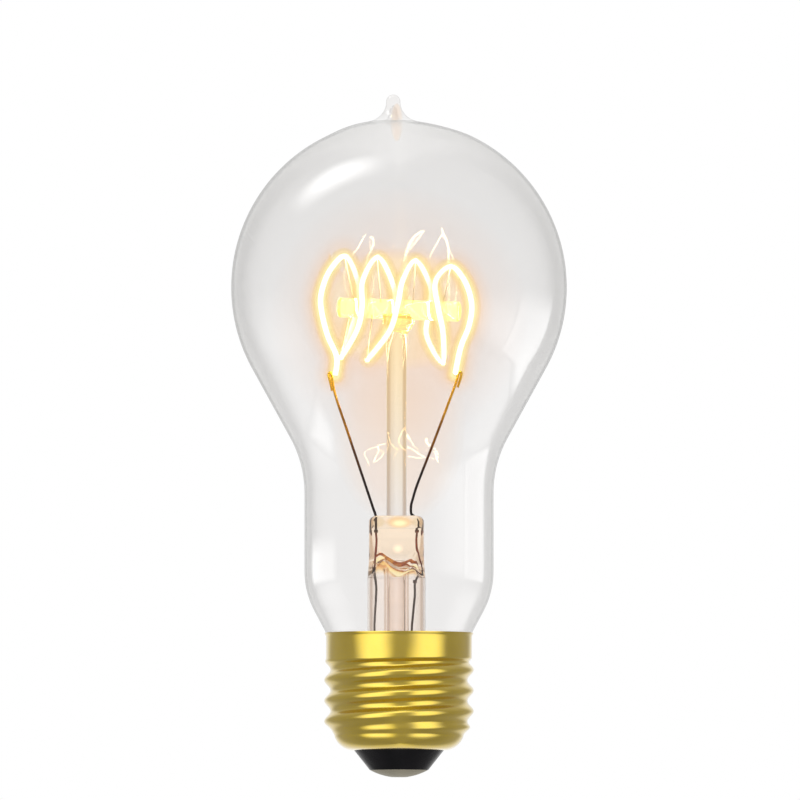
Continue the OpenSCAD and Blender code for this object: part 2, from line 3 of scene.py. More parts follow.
import bmesh
import bpy
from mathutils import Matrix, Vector


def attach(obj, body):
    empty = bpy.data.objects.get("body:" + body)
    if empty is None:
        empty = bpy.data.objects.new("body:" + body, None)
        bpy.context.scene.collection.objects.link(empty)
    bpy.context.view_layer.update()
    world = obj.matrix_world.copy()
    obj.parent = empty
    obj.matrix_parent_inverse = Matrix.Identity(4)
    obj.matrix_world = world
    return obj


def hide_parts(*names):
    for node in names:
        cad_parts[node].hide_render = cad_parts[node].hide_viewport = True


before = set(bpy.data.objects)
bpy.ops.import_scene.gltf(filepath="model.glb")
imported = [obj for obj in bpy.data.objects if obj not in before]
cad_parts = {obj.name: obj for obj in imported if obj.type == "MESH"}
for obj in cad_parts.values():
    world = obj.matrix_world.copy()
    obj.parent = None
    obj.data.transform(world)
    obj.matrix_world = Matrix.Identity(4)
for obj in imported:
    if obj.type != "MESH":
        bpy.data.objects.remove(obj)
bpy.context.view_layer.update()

# Camera: a long lens a little below the middle of the lamp, as the undersides of the collar's
# ellipses show. The picture's 800 pixels span 140.6 mm at the lamp's axis.
PICTURE_PX = 800
MM_PER_PX = 0.1758
AXIS_PX, FOOT_PX = 399, 777
CAMERA_DISTANCE = 2.4
CAMERA_DROP = math.radians(2.7)
frame_width = PICTURE_PX * MM_PER_PX / 1000
aim = Vector((PICTURE_PX / 2 - AXIS_PX, 0, FOOT_PX - PICTURE_PX / 2)) * MM_PER_PX / 1000
camera = bpy.data.objects.new("camera", bpy.data.cameras.new("camera"))
bpy.context.collection.objects.link(camera)
camera.location = aim + CAMERA_DISTANCE * Vector((0, -math.cos(CAMERA_DROP), -math.sin(CAMERA_DROP)))
camera.rotation_euler = (aim - camera.location).to_track_quat("-Z", "Y").to_euler()
camera.data.lens = camera.data.sensor_width * CAMERA_DISTANCE / frame_width
camera.data.clip_start = 0.01
bpy.context.scene.camera = camera
bpy.context.scene.view_settings.view_transform = "Standard"
# A line of sight meets many clear skins in a row.
bpy.context.scene.cycles.transparent_max_bounces = 64
bpy.context.scene.cycles.max_bounces = 16
bpy.context.scene.cycles.transmission_bounces = 16


# Studio: a white backdrop all round and a pale floor far below, as the lamp hangs free in the
# picture. The camera's side of the room is dimmer, which only metal and glass show. Cards of lit
# cloth stand where the picture shows highlights.
def adder(tree):
    """Function that adds a node. Inputs go by name, or by _ and number; a socket is linked."""
    def add(kind, operation=None, **inputs):
        node = tree.nodes.new(kind)
        if operation:
            node.operation = operation
        for key, value in inputs.items():
            socket = node.inputs[int(key[1:])] if key[0] == "_" else node.inputs[key.replace("_", " ")]
            if isinstance(value, bpy.types.NodeSocket):
                tree.links.new(value, socket)
            else:
                socket.default_value = value
        return node
    return add


def shades(add, share, pairs, interpolation="LINEAR"):
    """Colour by a share from 0 to 1, through stops of [position, colour or grey level]."""
    ramp = add("ShaderNodeValToRGB", Fac=share)
    ramp.color_ramp.interpolation = interpolation
    marks = ramp.color_ramp.elements
    while len(marks) < len(pairs):
        marks.new(0.5)
    for mark, (at, colour) in zip(marks, pairs):
        mark.position = at
        mark.color = (*colour, 1) if isinstance(colour, tuple) else (colour, colour, colour, 1)
    return ramp.outputs[0]


def material(name):
    """New material, the function that adds its nodes and the one that puts its shader to use."""
    mat = bpy.data.materials.new(name)
    mat.use_nodes = True
    tree = mat.node_tree
    for node in list(tree.nodes):
        tree.nodes.remove(node)
    output = tree.nodes.new("ShaderNodeOutputMaterial")

    def show(shader):
        tree.links.new(shader, output.inputs["Surface"])
    return mat, adder(tree), show


def put(name, mesh, mat, smooth_angle=None):
    """Piece from a mesh, shaded smooth up to an angle in degrees between its faces."""
    piece = bpy.data.objects.new(name, mesh)
    bpy.context.collection.objects.link(piece)
    mesh.materials.append(mat)
    if smooth_angle is not None:
        for face in mesh.polygons:
            face.use_smooth = True
        mesh.set_sharp_from_angle(angle=math.radians(smooth_angle))
    return piece


def mesh_of(name, points, faces):
    """Mesh from points in metres and the corners of its faces."""
    mesh = bpy.data.meshes.new(name)
    mesh.from_pydata(points, [], faces)
    mesh.update()
    return mesh


def sheet_mesh(name, width, height):
    """Flat rectangle round its own middle, in metres."""
    w, h = width / 2, height / 2
    return mesh_of(name, [(-w, -h, 0), (w, -h, 0), (w, h, 0), (-w, h, 0)], [(0, 1, 2, 3)])


# Round the lamp, as metal and glass mirror it: white behind, dim at the sides and in front. Stops
# are shares of a full turn.
ROOM = [(0.0, 1.0), (0.05, 0.85), (0.13, 0.4), (0.26, 0.36), (0.5, 0.42), (0.74, 0.34), (0.87, 0.4),
    (0.95, 0.85), (1.0, 1.0)]
# A quarter of the same, as glass bends it: white towards each side and dim between them.
BENT_WHITE, BENT_DIM = (1, 0.985, 0.97), (0.66, 0.55, 0.47)
BENT_QUARTER = [(0.0, BENT_WHITE), (0.055, (0.97, 0.94, 0.9)), (0.1, BENT_DIM), (0.15, BENT_DIM),
    (0.2, (0.9, 0.86, 0.82))]
world = bpy.data.worlds.new("studio")
bpy.context.scene.world = world
world.use_nodes = True
world.node_tree.nodes.clear()
add = adder(world.node_tree)
way = add("ShaderNodeSeparateXYZ", Vector=add("ShaderNodeTexCoord").outputs["Generated"])
to_camera = add("ShaderNodeMath", "MULTIPLY", _0=way.outputs["Y"], _1=-1.0)
bearing = add("ShaderNodeMath", "ARCTAN2", _0=way.outputs["X"], _1=to_camera.outputs[0])
turn = add("ShaderNodeMath", "MULTIPLY_ADD", _0=bearing.outputs[0], _1=0.5 / math.pi, _2=0.5)
ring = shades(add, turn.outputs[0], ROOM, "EASE")
overhead = add("ShaderNodeMapRange", Value=way.outputs["Z"], From_Min=0.3, From_Max=0.8, To_Max=0.06)
underfoot = add("ShaderNodeMapRange", Value=way.outputs["Z"], From_Min=-0.7, From_Max=-0.25, To_Min=0.85)
level = add("ShaderNodeMath", "MULTIPLY_ADD", _0=ring, _1=underfoot.outputs[0], _2=overhead.outputs[0])
mirrored_room = add("ShaderNodeBackground", Color=(1, 0.995, 0.985, 1), Strength=level.outputs[0])
four_quarters = [(at + quarter / 4, tint) for quarter in range(4) for at, tint in BENT_QUARTER]
bent_ring = shades(add, turn.outputs[0], four_quarters + [(1.0, BENT_WHITE)], "EASE")
bent_room = add("ShaderNodeBackground", Color=bent_ring, Strength=1.0)
fill = add("ShaderNodeBackground", Color=(0.95, 0.97, 1, 1), Strength=0.6)
backdrop = add("ShaderNodeBackground", Color=(1, 1, 1, 1), Strength=1.0)
path = add("ShaderNodeLightPath")
seen = fill.outputs[0]
for ray, room in (("Is Glossy Ray", mirrored_room), ("Is Transmission Ray", bent_room),
        ("Is Camera Ray", backdrop)):
    seen = add("ShaderNodeMixShader", _0=path.outputs[ray], _1=seen, _2=room.outputs[0]).outputs[0]
add("ShaderNodeOutputWorld", Surface=seen)

FLOOR_DEPTH, FLOOR_SIZE = 1.0, 12.0
paint, add, show = material("floor_paint")
path = add("ShaderNodeLightPath")
lit = add("ShaderNodeEmission", Color=(1, 1, 1, 1), Strength=1.0)
matt = add("ShaderNodeBsdfDiffuse", Color=(0.85, 0.85, 0.85, 1))
white = add("ShaderNodeMixShader", _0=path.outputs["Is Camera Ray"], _1=matt.outputs[0], _2=lit.outputs[0])
show(white.outputs[0])
floor = put("floor", sheet_mesh("floor", FLOOR_SIZE, FLOOR_SIZE), paint)
floor.location.z = -FLOOR_DEPTH
floor.visible_glossy = floor.visible_transmission = False


# A ray that has passed fewer clear skins is still at the glass's near side, and one that has been
# mirrored fewer times is a first reflection.
NEAR_SIDE_SKINS, FIRST_MIRRORS = 2.5, 1.5


def lit_card(name, centre, facing, width, height, brightness, edges, seen_by):
    """Lit cloth, in metres, whose light fades over a share of it at its left, right, lower and
    upper edge. Only one group of pieces mirrors it, once, and the glass only on the near side."""
    cloth, add, show = material(name)
    place = add("ShaderNodeSeparateXYZ", Vector=add("ShaderNodeTexCoord").outputs["Generated"])
    trip = add("ShaderNodeLightPath")
    near = add("ShaderNodeMath", "LESS_THAN", _0=trip.outputs["Transparent Depth"], _1=NEAR_SIDE_SKINS)
    once = add("ShaderNodeMath", "LESS_THAN", _0=trip.outputs["Glossy Depth"], _1=FIRST_MIRRORS)
    level = add("ShaderNodeMath", "MULTIPLY", _0=near.outputs[0], _1=once.outputs[0]).outputs[0]
    for axis, border, inward, edge in zip(("X", "X", "Y", "Y"), (0, 1, 0, 1), (1, -1, 1, -1), edges):
        across = place.outputs[axis]
        fade = add("ShaderNodeMapRange", Value=across, From_Min=border, From_Max=border + inward * edge)
        fade.interpolation_type = "SMOOTHSTEP"
        level = add("ShaderNodeMath", "MULTIPLY", _0=level, _1=fade.outputs[0]).outputs[0]
    clear = add("ShaderNodeBsdfTransparent", Color=(1, 1, 1, 1))
    strong = add("ShaderNodeMath", "MULTIPLY", _0=level, _1=brightness)
    glow = add("ShaderNodeEmission", Color=(1, 1, 1, 1), Strength=strong.outputs[0])
    show(add("ShaderNodeAddShader", _0=clear.outputs[0], _1=glow.outputs[0]).outputs[0])
    card = put(name, sheet_mesh(name, width, height), cloth)
    card.location = centre
    card.rotation_euler = Vector(facing).to_track_quat("Z", "Y").to_euler()
    card.visible_camera = card.visible_shadow = card.visible_diffuse = card.visible_transmission = False
    card.light_linking.receiver_collection = seen_by


def from_lamp(azimuth, elevation):
    """Direction out of the lamp. Azimuth 0 is the camera's side and 90 its right."""
    a, e = math.radians(azimuth), math.radians(elevation)
    return Vector((math.sin(a) * math.cos(e), -math.cos(a) * math.cos(e), math.sin(e)))


glass_group = bpy.data.collections.new("mirrors_of_glass")
metal_group = bpy.data.collections.new("mirrors_of_metal")
# Far cards, each across the way out of the lamp at an azimuth and elevation in degrees.
for name, azimuth, elevation, distance, width, height, brightness, edges, group in (
        ("card_top", -101, 61, 1.2, 0.62, 1.25, 6.0, (0.5, 0.5, 0.5, 0.5), glass_group),
        ("card_low_left", -100, -24, 1.2, 1.9, 1.3, 1.0, (0.5, 0.5, 0.5, 0.5), glass_group),
        ("card_low_right", 98, -30, 1.2, 1.5, 1.0, 1.0, (0.6, 0.2, 0.5, 0.5), glass_group),
        ("card_front_left", -41, 0, 0.3, 0.46, 1.0, 1.1, (0.45, 0.4, 0.3, 0.3), metal_group),
        ("card_front_right", 47, 0, 0.3, 0.46, 1.0, 1.0, (0.42, 0.45, 0.3, 0.3), metal_group),
        ("card_over", -8, 60, 1.2, 1.3, 0.8, 1.2, (0.5, 0.5, 0.5, 0.5), metal_group)):
    out = from_lamp(azimuth, elevation)
    lit_card(name, aim + distance * out, out, width, height, brightness, edges, group)
# Near cards, upright beside the glass.
for name, centre, side, width, height, brightness, edges in (
        ("card_left", (-0.045, 0.004, 0.0355), -1, 0.046, 0.017, 1.8, (0.2, 0.2, 0.3, 0.3)),
        ("card_right", (0.101, 0.022, 0.054), 1, 0.080, 0.068, 1.5, (0.08, 0.06, 0.08, 0.35)),
        ("card_right_soft", (0.101, -0.080, 0.050), 1, 0.156, 0.076, 1.5, (0.95, 0.03, 0.4, 0.5))):
    lit_card(name, centre, (side, 0, 0), width, height, brightness, edges, glass_group)

# Envelope: clear soda glass, blown in a mould and drawn off at the top where it was pumped and
# sealed. Its tail goes down inside the screw shell and is melted onto the stem's flare.
# In millimetres and radians. The globe's arc stops CROWN short of the top, where the tip begins.
GLOBE_R, GLOBE_Z, SHOULDER, CROWN = 29.5, 86.1, math.radians(28.8), 0.15
NECK_R, WAIST_R, NECK_LOW_Z, HEEL_R, HEEL = 16.6, 20.0, 36.2, 15.0, math.radians(28)
TAIL_R, SEAL_Z, TAIL_WALL, GLASS_WALL = 11.0, 15.5, 0.7, 0.22
TIP_H, TIP_R, TIP_X, TIP_FLARE_R, NUB_DROP, BENT_TOP_H = 4.5, 1.25, -1.0, 4.2, 0.1, 3.0


def arc(centre, r, start, end, steps):
    """Points [radius, height] round a centre, by angles in radians from the outward side."""
    return [(centre[0] + r * math.cos(a), centre[1] + r * math.sin(a))
        for a in (start + (end - start) * i / steps for i in range(steps + 1))]


def revolve(name, outline, mat, segments, smooth_angle):
    """A turned solid from a closed outline of [radius, height] in millimetres."""
    points, rows = [], []
    for r, z in outline:
        if r < 1e-6:
            rows.append([len(points)] * segments)
            points.append((0, 0, z / 1000))
        else:
            rows.append([len(points) + k for k in range(segments)])
            points += [(r / 1000 * math.cos(2 * math.pi * k / segments),
                r / 1000 * math.sin(2 * math.pi * k / segments), z / 1000) for k in range(segments)]
    faces = []
    for i in range(len(rows)):
        low, high = rows[i], rows[(i + 1) % len(rows)]
        for k in range(segments):
            corners = [low[k], low[(k + 1) % segments], high[(k + 1) % segments], high[k]]
            face = list(dict.fromkeys(corners))
            if len(face) > 2:
                faces.append(face)
    return put(name, mesh_of(name, points, faces), mat, smooth_angle)


def body_outline(inset):
    """Right half of the envelope from the tail up to the globe's top, drawn in by a depth."""
    globe, waist, heel = GLOBE_R - inset, WAIST_R + inset, HEEL_R - inset
    waist_x = NECK_R + WAIST_R
    waist_z = GLOBE_Z - (WAIST_R + GLOBE_R - waist_x * math.cos(SHOULDER)) / math.sin(SHOULDER)
    heel_c = (NECK_R - HEEL_R, NECK_LOW_Z)
    heel_points = arc(heel_c, heel, -HEEL, 0, 12)
    tail = TAIL_R - (TAIL_WALL if inset else 0)
    tail_z = heel_points[0][1] - (heel_points[0][0] - tail) / math.tan(HEEL)
    waist_points = arc((waist_x, waist_z), waist, math.pi, math.pi - SHOULDER, 14)
    globe_points = arc((0, GLOBE_Z), globe, -SHOULDER, math.pi / 2 - CROWN, 56)
    return [(tail, SEAL_Z), (tail, tail_z)] + heel_points + waist_points + globe_points


def tip_outline():
    """Hollow curve from the globe into the tip, pressed a little flat, and the tip's round end."""
    flare_x = TIP_R + TIP_FLARE_R
    centre = (flare_x, GLOBE_Z + math.sqrt((GLOBE_R + TIP_FLARE_R) ** 2 - flare_x ** 2))
    start = math.atan2(GLOBE_Z - centre[1], -centre[0]) + 2 * math.pi
    nub = (0, GLOBE_Z + GLOBE_R + TIP_H - TIP_R)
    flare = arc(centre, TIP_FLARE_R, start, math.pi, 14)
    foot = flare[0][1]
    squash = (nub[1] - NUB_DROP - foot) / (flare[-1][1] - foot)
    return [(r, foot + (z - foot) * squash) for r, z in flare] + arc(nub, TIP_R, 0, math.pi / 2, 12)


# The share that the wall mirrors head on, and the height in metres that the tints are shares of.
MIRRORED_HEAD_ON, TINT_TOP = 0.04, 0.125


def thin_glass(name, tip_tint, upper_tint, lower_tint, edge_tint):
    """Clear wall that mirrors a small share head on and all of it at a graze, as glass does. What
    shows through it darkens at the limb. So does what it mirrors, but less at the tip's foot."""
    mat, add, show = material(name)
    facing = add("ShaderNodeLayerWeight", Blend=0.5).outputs["Facing"]
    height = add("ShaderNodeSeparateXYZ", Vector=add("ShaderNodeTexCoord").outputs["Object"]).outputs["Z"]
    rise = add("ShaderNodeMapRange", Value=height, From_Max=TINT_TOP)
    head_on = shades(add, rise.outputs[0], [(0.4, lower_tint), (0.8, upper_tint), (0.926, upper_tint),
        (0.936, tip_tint)])
    slanting = shades(add, facing, [(0.5, (1, 1, 1)), (0.9, edge_tint), (1.0, (0.6, 0.6, 0.6))])
    tint = add("ShaderNodeVectorMath", "MULTIPLY", _0=head_on, _1=slanting)
    through = add("ShaderNodeBsdfTransparent", Color=tint.outputs[0])
    limb = shades(add, facing, [(0.1, 0.65), (0.6, 0.95), (0.82, 0.95), (0.95, 0.62), (1.0, 0.48)])
    tip_share = shades(add, rise.outputs[0], [(0.9215, 0.0), (0.9235, 0.75), (0.928, 0.75), (0.934, 0.2)])
    silver = add("ShaderNodeMixRGB", Fac=tip_share, Color1=limb, Color2=(1, 1, 1, 1))
    mirror = add("ShaderNodeBsdfGlossy", Color=silver.outputs[0], Roughness=0)
    steep = add("ShaderNodeMath", "POWER", _0=facing, _1=5.0)
    share = add("ShaderNodeMath", "MULTIPLY_ADD", _0=steep.outputs[0], _1=1 - MIRRORED_HEAD_ON,
        _2=MIRRORED_HEAD_ON)
    wall = add("ShaderNodeMixShader", _0=share.outputs[0], _1=through.outputs[0], _2=mirror.outputs[0])
    show(wall.outputs[0])
    return mat


clear_glass = thin_glass("clear_glass", tip_tint=(0.965, 0.958, 0.952), upper_tint=(0.967, 0.964, 0.961),
    lower_tint=(0.986, 0.983, 0.981), edge_tint=(0.98, 0.98, 0.98))
CAVITY_R = 2.4
cavity_foot_z = GLOBE_Z + math.sqrt((GLOBE_R - GLASS_WALL) ** 2 - CAVITY_R ** 2)
tip_cavity = [(CAVITY_R, cavity_foot_z), (1.2, 115.7), (0.75, 116.5), (0.6, 117.6), (0, 118.2)]
outline = body_outline(0) + tip_outline() + tip_cavity[::-1] + body_outline(GLASS_WALL)[::-1]
envelope = revolve("glass_envelope", outline, clear_glass, 192, 50)
for vertex in envelope.data.vertices:
    lean = min(1, max(0, (vertex.co.z * 1000 - GLOBE_Z - GLOBE_R + BENT_TOP_H) / BENT_TOP_H))
    vertex.co.x += TIP_X / 1000 * lean * lean * (3 - 2 * lean)
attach(envelope, "root")
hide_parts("envelope")
glass_group.objects.link(envelope)


# Stem: lead glass, worked in a flame. A flared tube is pinched flat on the wires at its top, with
# a bead along its edge; the pumping tube hangs inside it, and a solid rod stands on it. It is
# melted onto the envelope's tail.
PALE_STEM = (1, 0.975, 0.955)


def solid_glass(name, tint, glow_colour, glow, ripples=0.08, painted_glints=(), painted_shades=(), fold=()):
    """Solid glass with a faint painted glow near the hot wire, whose colour turns to the tint over the same
    heights, as painted warm light. Glow is [lower and upper height in metres, strength at each]. It has
    painted highlights [place in mm, half sizes, strength] where it gathers that light, patches of painted
    shade [place in mm, half sizes, tint], and painted shade along its mesh's own fold."""
    mat, add, show = material(name)
    place = add("ShaderNodeTexCoord").outputs["Object"]
    height = add("ShaderNodeSeparateXYZ", Vector=place).outputs["Z"]

    def within(centre, half_sizes, full, peak):
        """Strength of a soft spot, full inside a share of its sizes and none past them."""
        off = add("ShaderNodeVectorMath", "SUBTRACT", _0=place, _1=[c / 1000 for c in centre])
        shaped = add("ShaderNodeVectorMath", "DIVIDE", _0=off.outputs[0], _1=[h / 1000 for h in half_sizes])
        reach = add("ShaderNodeVectorMath", "LENGTH", _0=shaped.outputs[0]).outputs["Value"]
        spot = add("ShaderNodeMapRange", Value=reach, From_Min=1.0, From_Max=full, To_Max=peak)
        spot.interpolation_type = "SMOOTHSTEP"
        return spot.outputs[0]

    low, high, least, most = glow
    light = add("ShaderNodeMapRange", Value=height, From_Min=low, From_Max=high, To_Min=least,
        To_Max=most).outputs[0]
    warmer = add("ShaderNodeMapRange", Value=height, From_Min=low, From_Max=high)
    colour = shades(add, warmer.outputs[0], [(0, PALE_STEM), (1, tint)])
    for centre, half_sizes, shade_tint in painted_shades:
        loss = add("ShaderNodeVectorMath", "MULTIPLY_ADD", _0=within(centre, half_sizes, 0.5, 1.0),
            _1=[c - 1 for c in shade_tint], _2=(1, 1, 1))
        colour = add("ShaderNodeVectorMath", "MULTIPLY", _0=colour, _1=loss.outputs[0]).outputs[0]
    if fold:
        marked = add("ShaderNodeAttribute")
        marked.attribute_name = "fold"
        shaded = shades(add, marked.outputs["Fac"], fold)
        colour = add("ShaderNodeVectorMath", "MULTIPLY", _0=colour, _1=shaded).outputs[0]
    for centre, half_sizes, peak in painted_glints:
        gathered = within(centre, half_sizes, 0.2, peak)
        light = add("ShaderNodeMath", "ADD", _0=light, _1=gathered).outputs[0]
    ripple = add("ShaderNodeTexNoise", Vector=place, Scale=180.0, Detail=2.0)
    bump = add("ShaderNodeBump", Strength=ripples, Distance=0.0003, Height=ripple.outputs[0])
    show(add("ShaderNodeBsdfPrincipled", Base_Color=colour, Roughness=0.015, IOR=1.5,
        Transmission_Weight=1.0, Specular_IOR_Level=0.3, Normal=bump.outputs[0],
        Emission_Color=(*glow_colour, 1), Emission_Strength=light).outputs[0])
    return mat


def refinish(node, mat):
    """Gives a solid of the CAD model its material."""
    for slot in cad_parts[node].material_slots:
        slot.material = mat


# Colour of the painted glow of the hot wire's light in the stem's glass.
STEM_GLOW_COLOUR, STEM_X, BOSS_Z = (1, 0.62, 0.4), -0.45, 80.6
stem_glass = solid_glass("stem_glass", PALE_STEM, STEM_GLOW_COLOUR, (0.015, 0.030, 0.0, 0.018))
refinish("flare_tube", stem_glass)
# The rod's painted glow and warm tint grow towards the hot wire, with a painted highlight and a yellower
# patch of painted shade at the boss.
rod_glass = solid_glass("rod_glass", (1, 0.85, 0.54), (1, 0.6, 0.16), (0.046, 0.080, 0.0, 0.15),
    painted_glints=[((STEM_X, -1, BOSS_Z), (4, 4, 2.6), 0.4)],
    painted_shades=[((STEM_X, 0, BOSS_Z + 0.2), (4.5, 4.5, 3.0), (1, 1, 0.4))])
refinish("support_rod", rod_glass)

PUMPING_R, PUMPING_BORE_R, PUMPING_LOW_Z, PUMPING_TOP_Z, POLE_GAP = 2.2, 1.3, 10.2, 37.0, 0.1
bore_low_z = PUMPING_LOW_Z + 2 * PUMPING_R
sealed_end = arc((0, PUMPING_LOW_Z + PUMPING_R), PUMPING_R, POLE_GAP - math.pi / 2, 0, 8)
pumping_outline = [(0, PUMPING_LOW_Z)] + sealed_end + [(PUMPING_R, PUMPING_TOP_Z),
    (PUMPING_BORE_R, PUMPING_TOP_Z), (PUMPING_BORE_R, bore_low_z), (0, bore_low_z)]
pumping_glass = solid_glass("pumping_glass", (0.965, 0.925, 0.9), STEM_GLOW_COLOUR, (-1.0, 0.0, 0.0, 0.01))
pumping_tube = revolve("pumping_tube", pumping_outline, pumping_glass, 64, 30)
for vertex in pumping_tube.data.vertices:
    vertex.co.x += STEM_X / 1000

TUBE_R, TUBE_WALL, PRESS_Z, PRESS_TOP_Z = 5.1, 0.8, 35.0, 45.9
PRESS_R, PRESS_T, BEAD_T, BEAD_H, BEAD_ROUND = 4.85, 4.6, 5.4, 2.3, 0.8
NARROWING_H, PINCH_H, ROOF_DISH, PRESS_STEPS = 3.0, 7.4, 0.7, 128
ROOF = [(-4.3, 36.8), (-3.2, 38.8), (0.6, 36.7), (3.0, 37.5), (4.3, 35.3)]


def press_section(z):
    """Half width and half thickness of the press at a height."""
    middle = PRESS_TOP_Z - BEAD_H / 2
    if z > PRESS_TOP_Z - BEAD_H:
        inset = max(0, abs(z - middle) - BEAD_H / 2 + BEAD_ROUND)
        thick = BEAD_T / 2 - BEAD_ROUND + math.sqrt(max(0, BEAD_ROUND ** 2 - inset ** 2))
        bulge = math.sqrt(max(0, (BEAD_H / 2) ** 2 - max(0, z - middle) ** 2))
        return PRESS_R - BEAD_H / 2 + bulge, max(thick, PRESS_T / 2 if z < middle else 0)
    width = TUBE_R + (PRESS_R - TUBE_R) * min(1, (z - PRESS_Z) / NARROWING_H)
    left = 0.5 + 0.5 * math.cos(math.pi * min(1, (z - PRESS_Z) / PINCH_H))
    return width, PRESS_T / 2 + (width - PRESS_T / 2) * left


def roof_height(x):
    """Height of the hollow's wavy roof over a place across the stem."""
    for (x0, z0), (x1, z1) in zip(ROOF, ROOF[1:]):
        if x <= x1:
            t = max(0, (x - x0) / (x1 - x0))
            return z0 + (z1 - z0) * t * t * (3 - 2 * t)
    return ROOF[-1][1]


def press_ring(width, thick, height):
    """Circle of a width, cut flat at a thickness. The height may depend on the place across."""
    ring = []
    for k in range(PRESS_STEPS):
        a = 2 * math.pi * k / PRESS_STEPS
        x = width * math.cos(a)
        z = height(x) if callable(height) else height
        y = min(thick, max(-thick, width * math.sin(a)))
        ring.append((x + STEM_X, y, z))
    return ring


def lofted(name, rings, mat, smooth_angle, endless=False):
    """Solid through rings of points in millimetres, each counter-clockwise as seen from the next.
    It has flat ends, or runs on from its last ring to its first."""
    count = len(rings[0])
    points = [(x / 1000, y / 1000, z / 1000) for ring in rings for x, y, z in ring]
    faces = []
    for i in range(len(rings) if endless else len(rings) - 1):
        low, high = i * count, (i + 1) % len(rings) * count
        for k in range(count):
            n = (k + 1) % count
            faces.append((low + k, low + n, high + n, high + k))
    if not endless:
        faces += [tuple(range(count - 1, -1, -1)), tuple(range(len(points) - count, len(points)))]
    return put(name, mesh_of(name, points, faces), mat, smooth_angle)


PINCH_ROWS, PINCH_ROW_H, BEAD_ROWS = 15, 0.3, 14
ROOF_SHARES = (0.01, 0.2, 0.4, 0.58, 0.72, 0.83, 0.91, 0.96, 0.99, 1.0)
FOLD_SHADE_SHARES = (1, 1, 1, 1, 0.9, 0.7, 0.45, 0.2, 0, 0)
hollow_r = TUBE_R - TUBE_WALL
rings = []
for share in ROOF_SHARES:
    rise = math.sqrt(1 - share ** 4)
    thick = PRESS_T / 2 + (hollow_r - PRESS_T / 2) * share - ROOF_DISH * rise
    rings.append(press_ring(hollow_r * share, thick, lambda x: PRESS_Z + (roof_height(x) - PRESS_Z) * rise))
heights = [PRESS_Z + PINCH_ROW_H * i for i in range(PINCH_ROWS)]
heights += [40.2, 41.2, 42.2, 43.2, PRESS_TOP_Z - BEAD_H]
bead_turns = [math.pi * i / BEAD_ROWS for i in range(1, BEAD_ROWS + 1)]
heights += [PRESS_TOP_Z - BEAD_H / 2 * (1 + math.cos(a)) for a in bead_turns]
rings += [press_ring(*press_section(z), z) for z in heights]
# Painted shade darkens the bead's ends and turns its middle amber. Painted highlights sit on the bead and
# over the vent, and painted shade runs along the hollow's fold. The press also glows faintly as painted
# light and grows warmer in colour above its foot.
BEAD_MIDDLE_SHADE, BEAD_END_SHADE = (1, 0.72, 0.38), (0.85, 0.76, 0.56)
press_glass = solid_glass("press_glass", (1, 0.885, 0.73), (1, 0.62, 0.34), (0.0355, 0.0385, 0.018, 0.06),
    ripples=0.03,
    painted_glints=[((0.1, -2.7, 44.5), (1.9, 2, 0.8), 0.6), ((-0.2, -2.3, 39.9), (1.2, 2, 1.1), 0.5)],
    painted_shades=[((-3.7, -2.0, 44.7), (1.7, 3, 1.2), BEAD_END_SHADE),
        ((3.4, -2.0, 44.7), (1.6, 3, 1.2), BEAD_END_SHADE),
        ((0.1, -2.6, 44.7), (3.0, 2, 1.3), BEAD_MIDDLE_SHADE)],
    fold=[(0, (1, 1, 1)), (0.3, (1, 0.95, 0.72)), (0.55, (0.9, 0.55, 0.22)), (1.0, (0.62, 0.26, 0.1))])
press = lofted("pinched_press", rings, press_glass, 50)
folds = press.data.attributes.new("fold", "FLOAT", "POINT")
for i, fold in enumerate(FOLD_SHADE_SHARES):
    for k in range(PRESS_STEPS):
        folds.data[i * PRESS_STEPS + k].value = fold
for piece, node in ((pumping_tube, "exhaust_tube"), (press, "stem_press")):
    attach(piece, "root")
    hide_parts(node)

# Where the hollow's roof meets the press, the glass runs together in a fold, drawn as a bead of painted
# shade, with a bead of painted highlight along a meniscus under it. Each place across has a height off the
# roof and a radius.
FOLD = [(-3.5, -0.5, 0.08), (-3.1, 0, 0.24), (-2.5, 0.15, 0.32), (-1.8, 0, 0.34), (-1.0, 0, 0.46),
    (-0.2, 0, 0.56), (0.6, 0, 0.54), (1.4, 0.1, 0.34), (2.2, 0.25, 0.24), (2.9, 0.1, 0.3), (3.4, -0.2, 0.12)]
FOLD_Y, FOLD_STEPS, FOLD_SIDES, MENISCUS_DROP, MENISCUS_SWELL = -1.75, 8, 12, 0.7, 1.1
# A dark amber bead of painted shade, with a faint painted glow.
fold_glass, add, show = material("fold_glass")
place = add("ShaderNodeTexCoord").outputs["Object"]
streaks = add("ShaderNodeTexNoise", Vector=place, Scale=750.0, Detail=2.0)
amber = shades(add, streaks.outputs[0], [(0.35, (0.14, 0.012, 0.002)), (0.52, (0.4, 0.08, 0.006)),
    (0.7, (0.9, 0.42, 0.04))])
show(add("ShaderNodeBsdfPrincipled", Base_Color=amber, Roughness=0.08, Emission_Color=amber,
    Emission_Strength=0.25).outputs[0])
# A clear bead of painted highlight, brightest head on.
meniscus_highlight, add, show = material("meniscus_highlight")
facing = add("ShaderNodeLayerWeight", Blend=0.5).outputs["Facing"]
cover = shades(add, facing, [(0.0, 0.8), (0.6, 0.6), (1.0, 0.0)])
clear = add("ShaderNodeBsdfTransparent", Color=(1, 1, 1, 1))
bright = add("ShaderNodeEmission", Color=(1, 0.9, 0.55, 1), Strength=1.05)
show(add("ShaderNodeMixShader", _0=cover, _1=clear.outputs[0], _2=bright.outputs[0]).outputs[0])


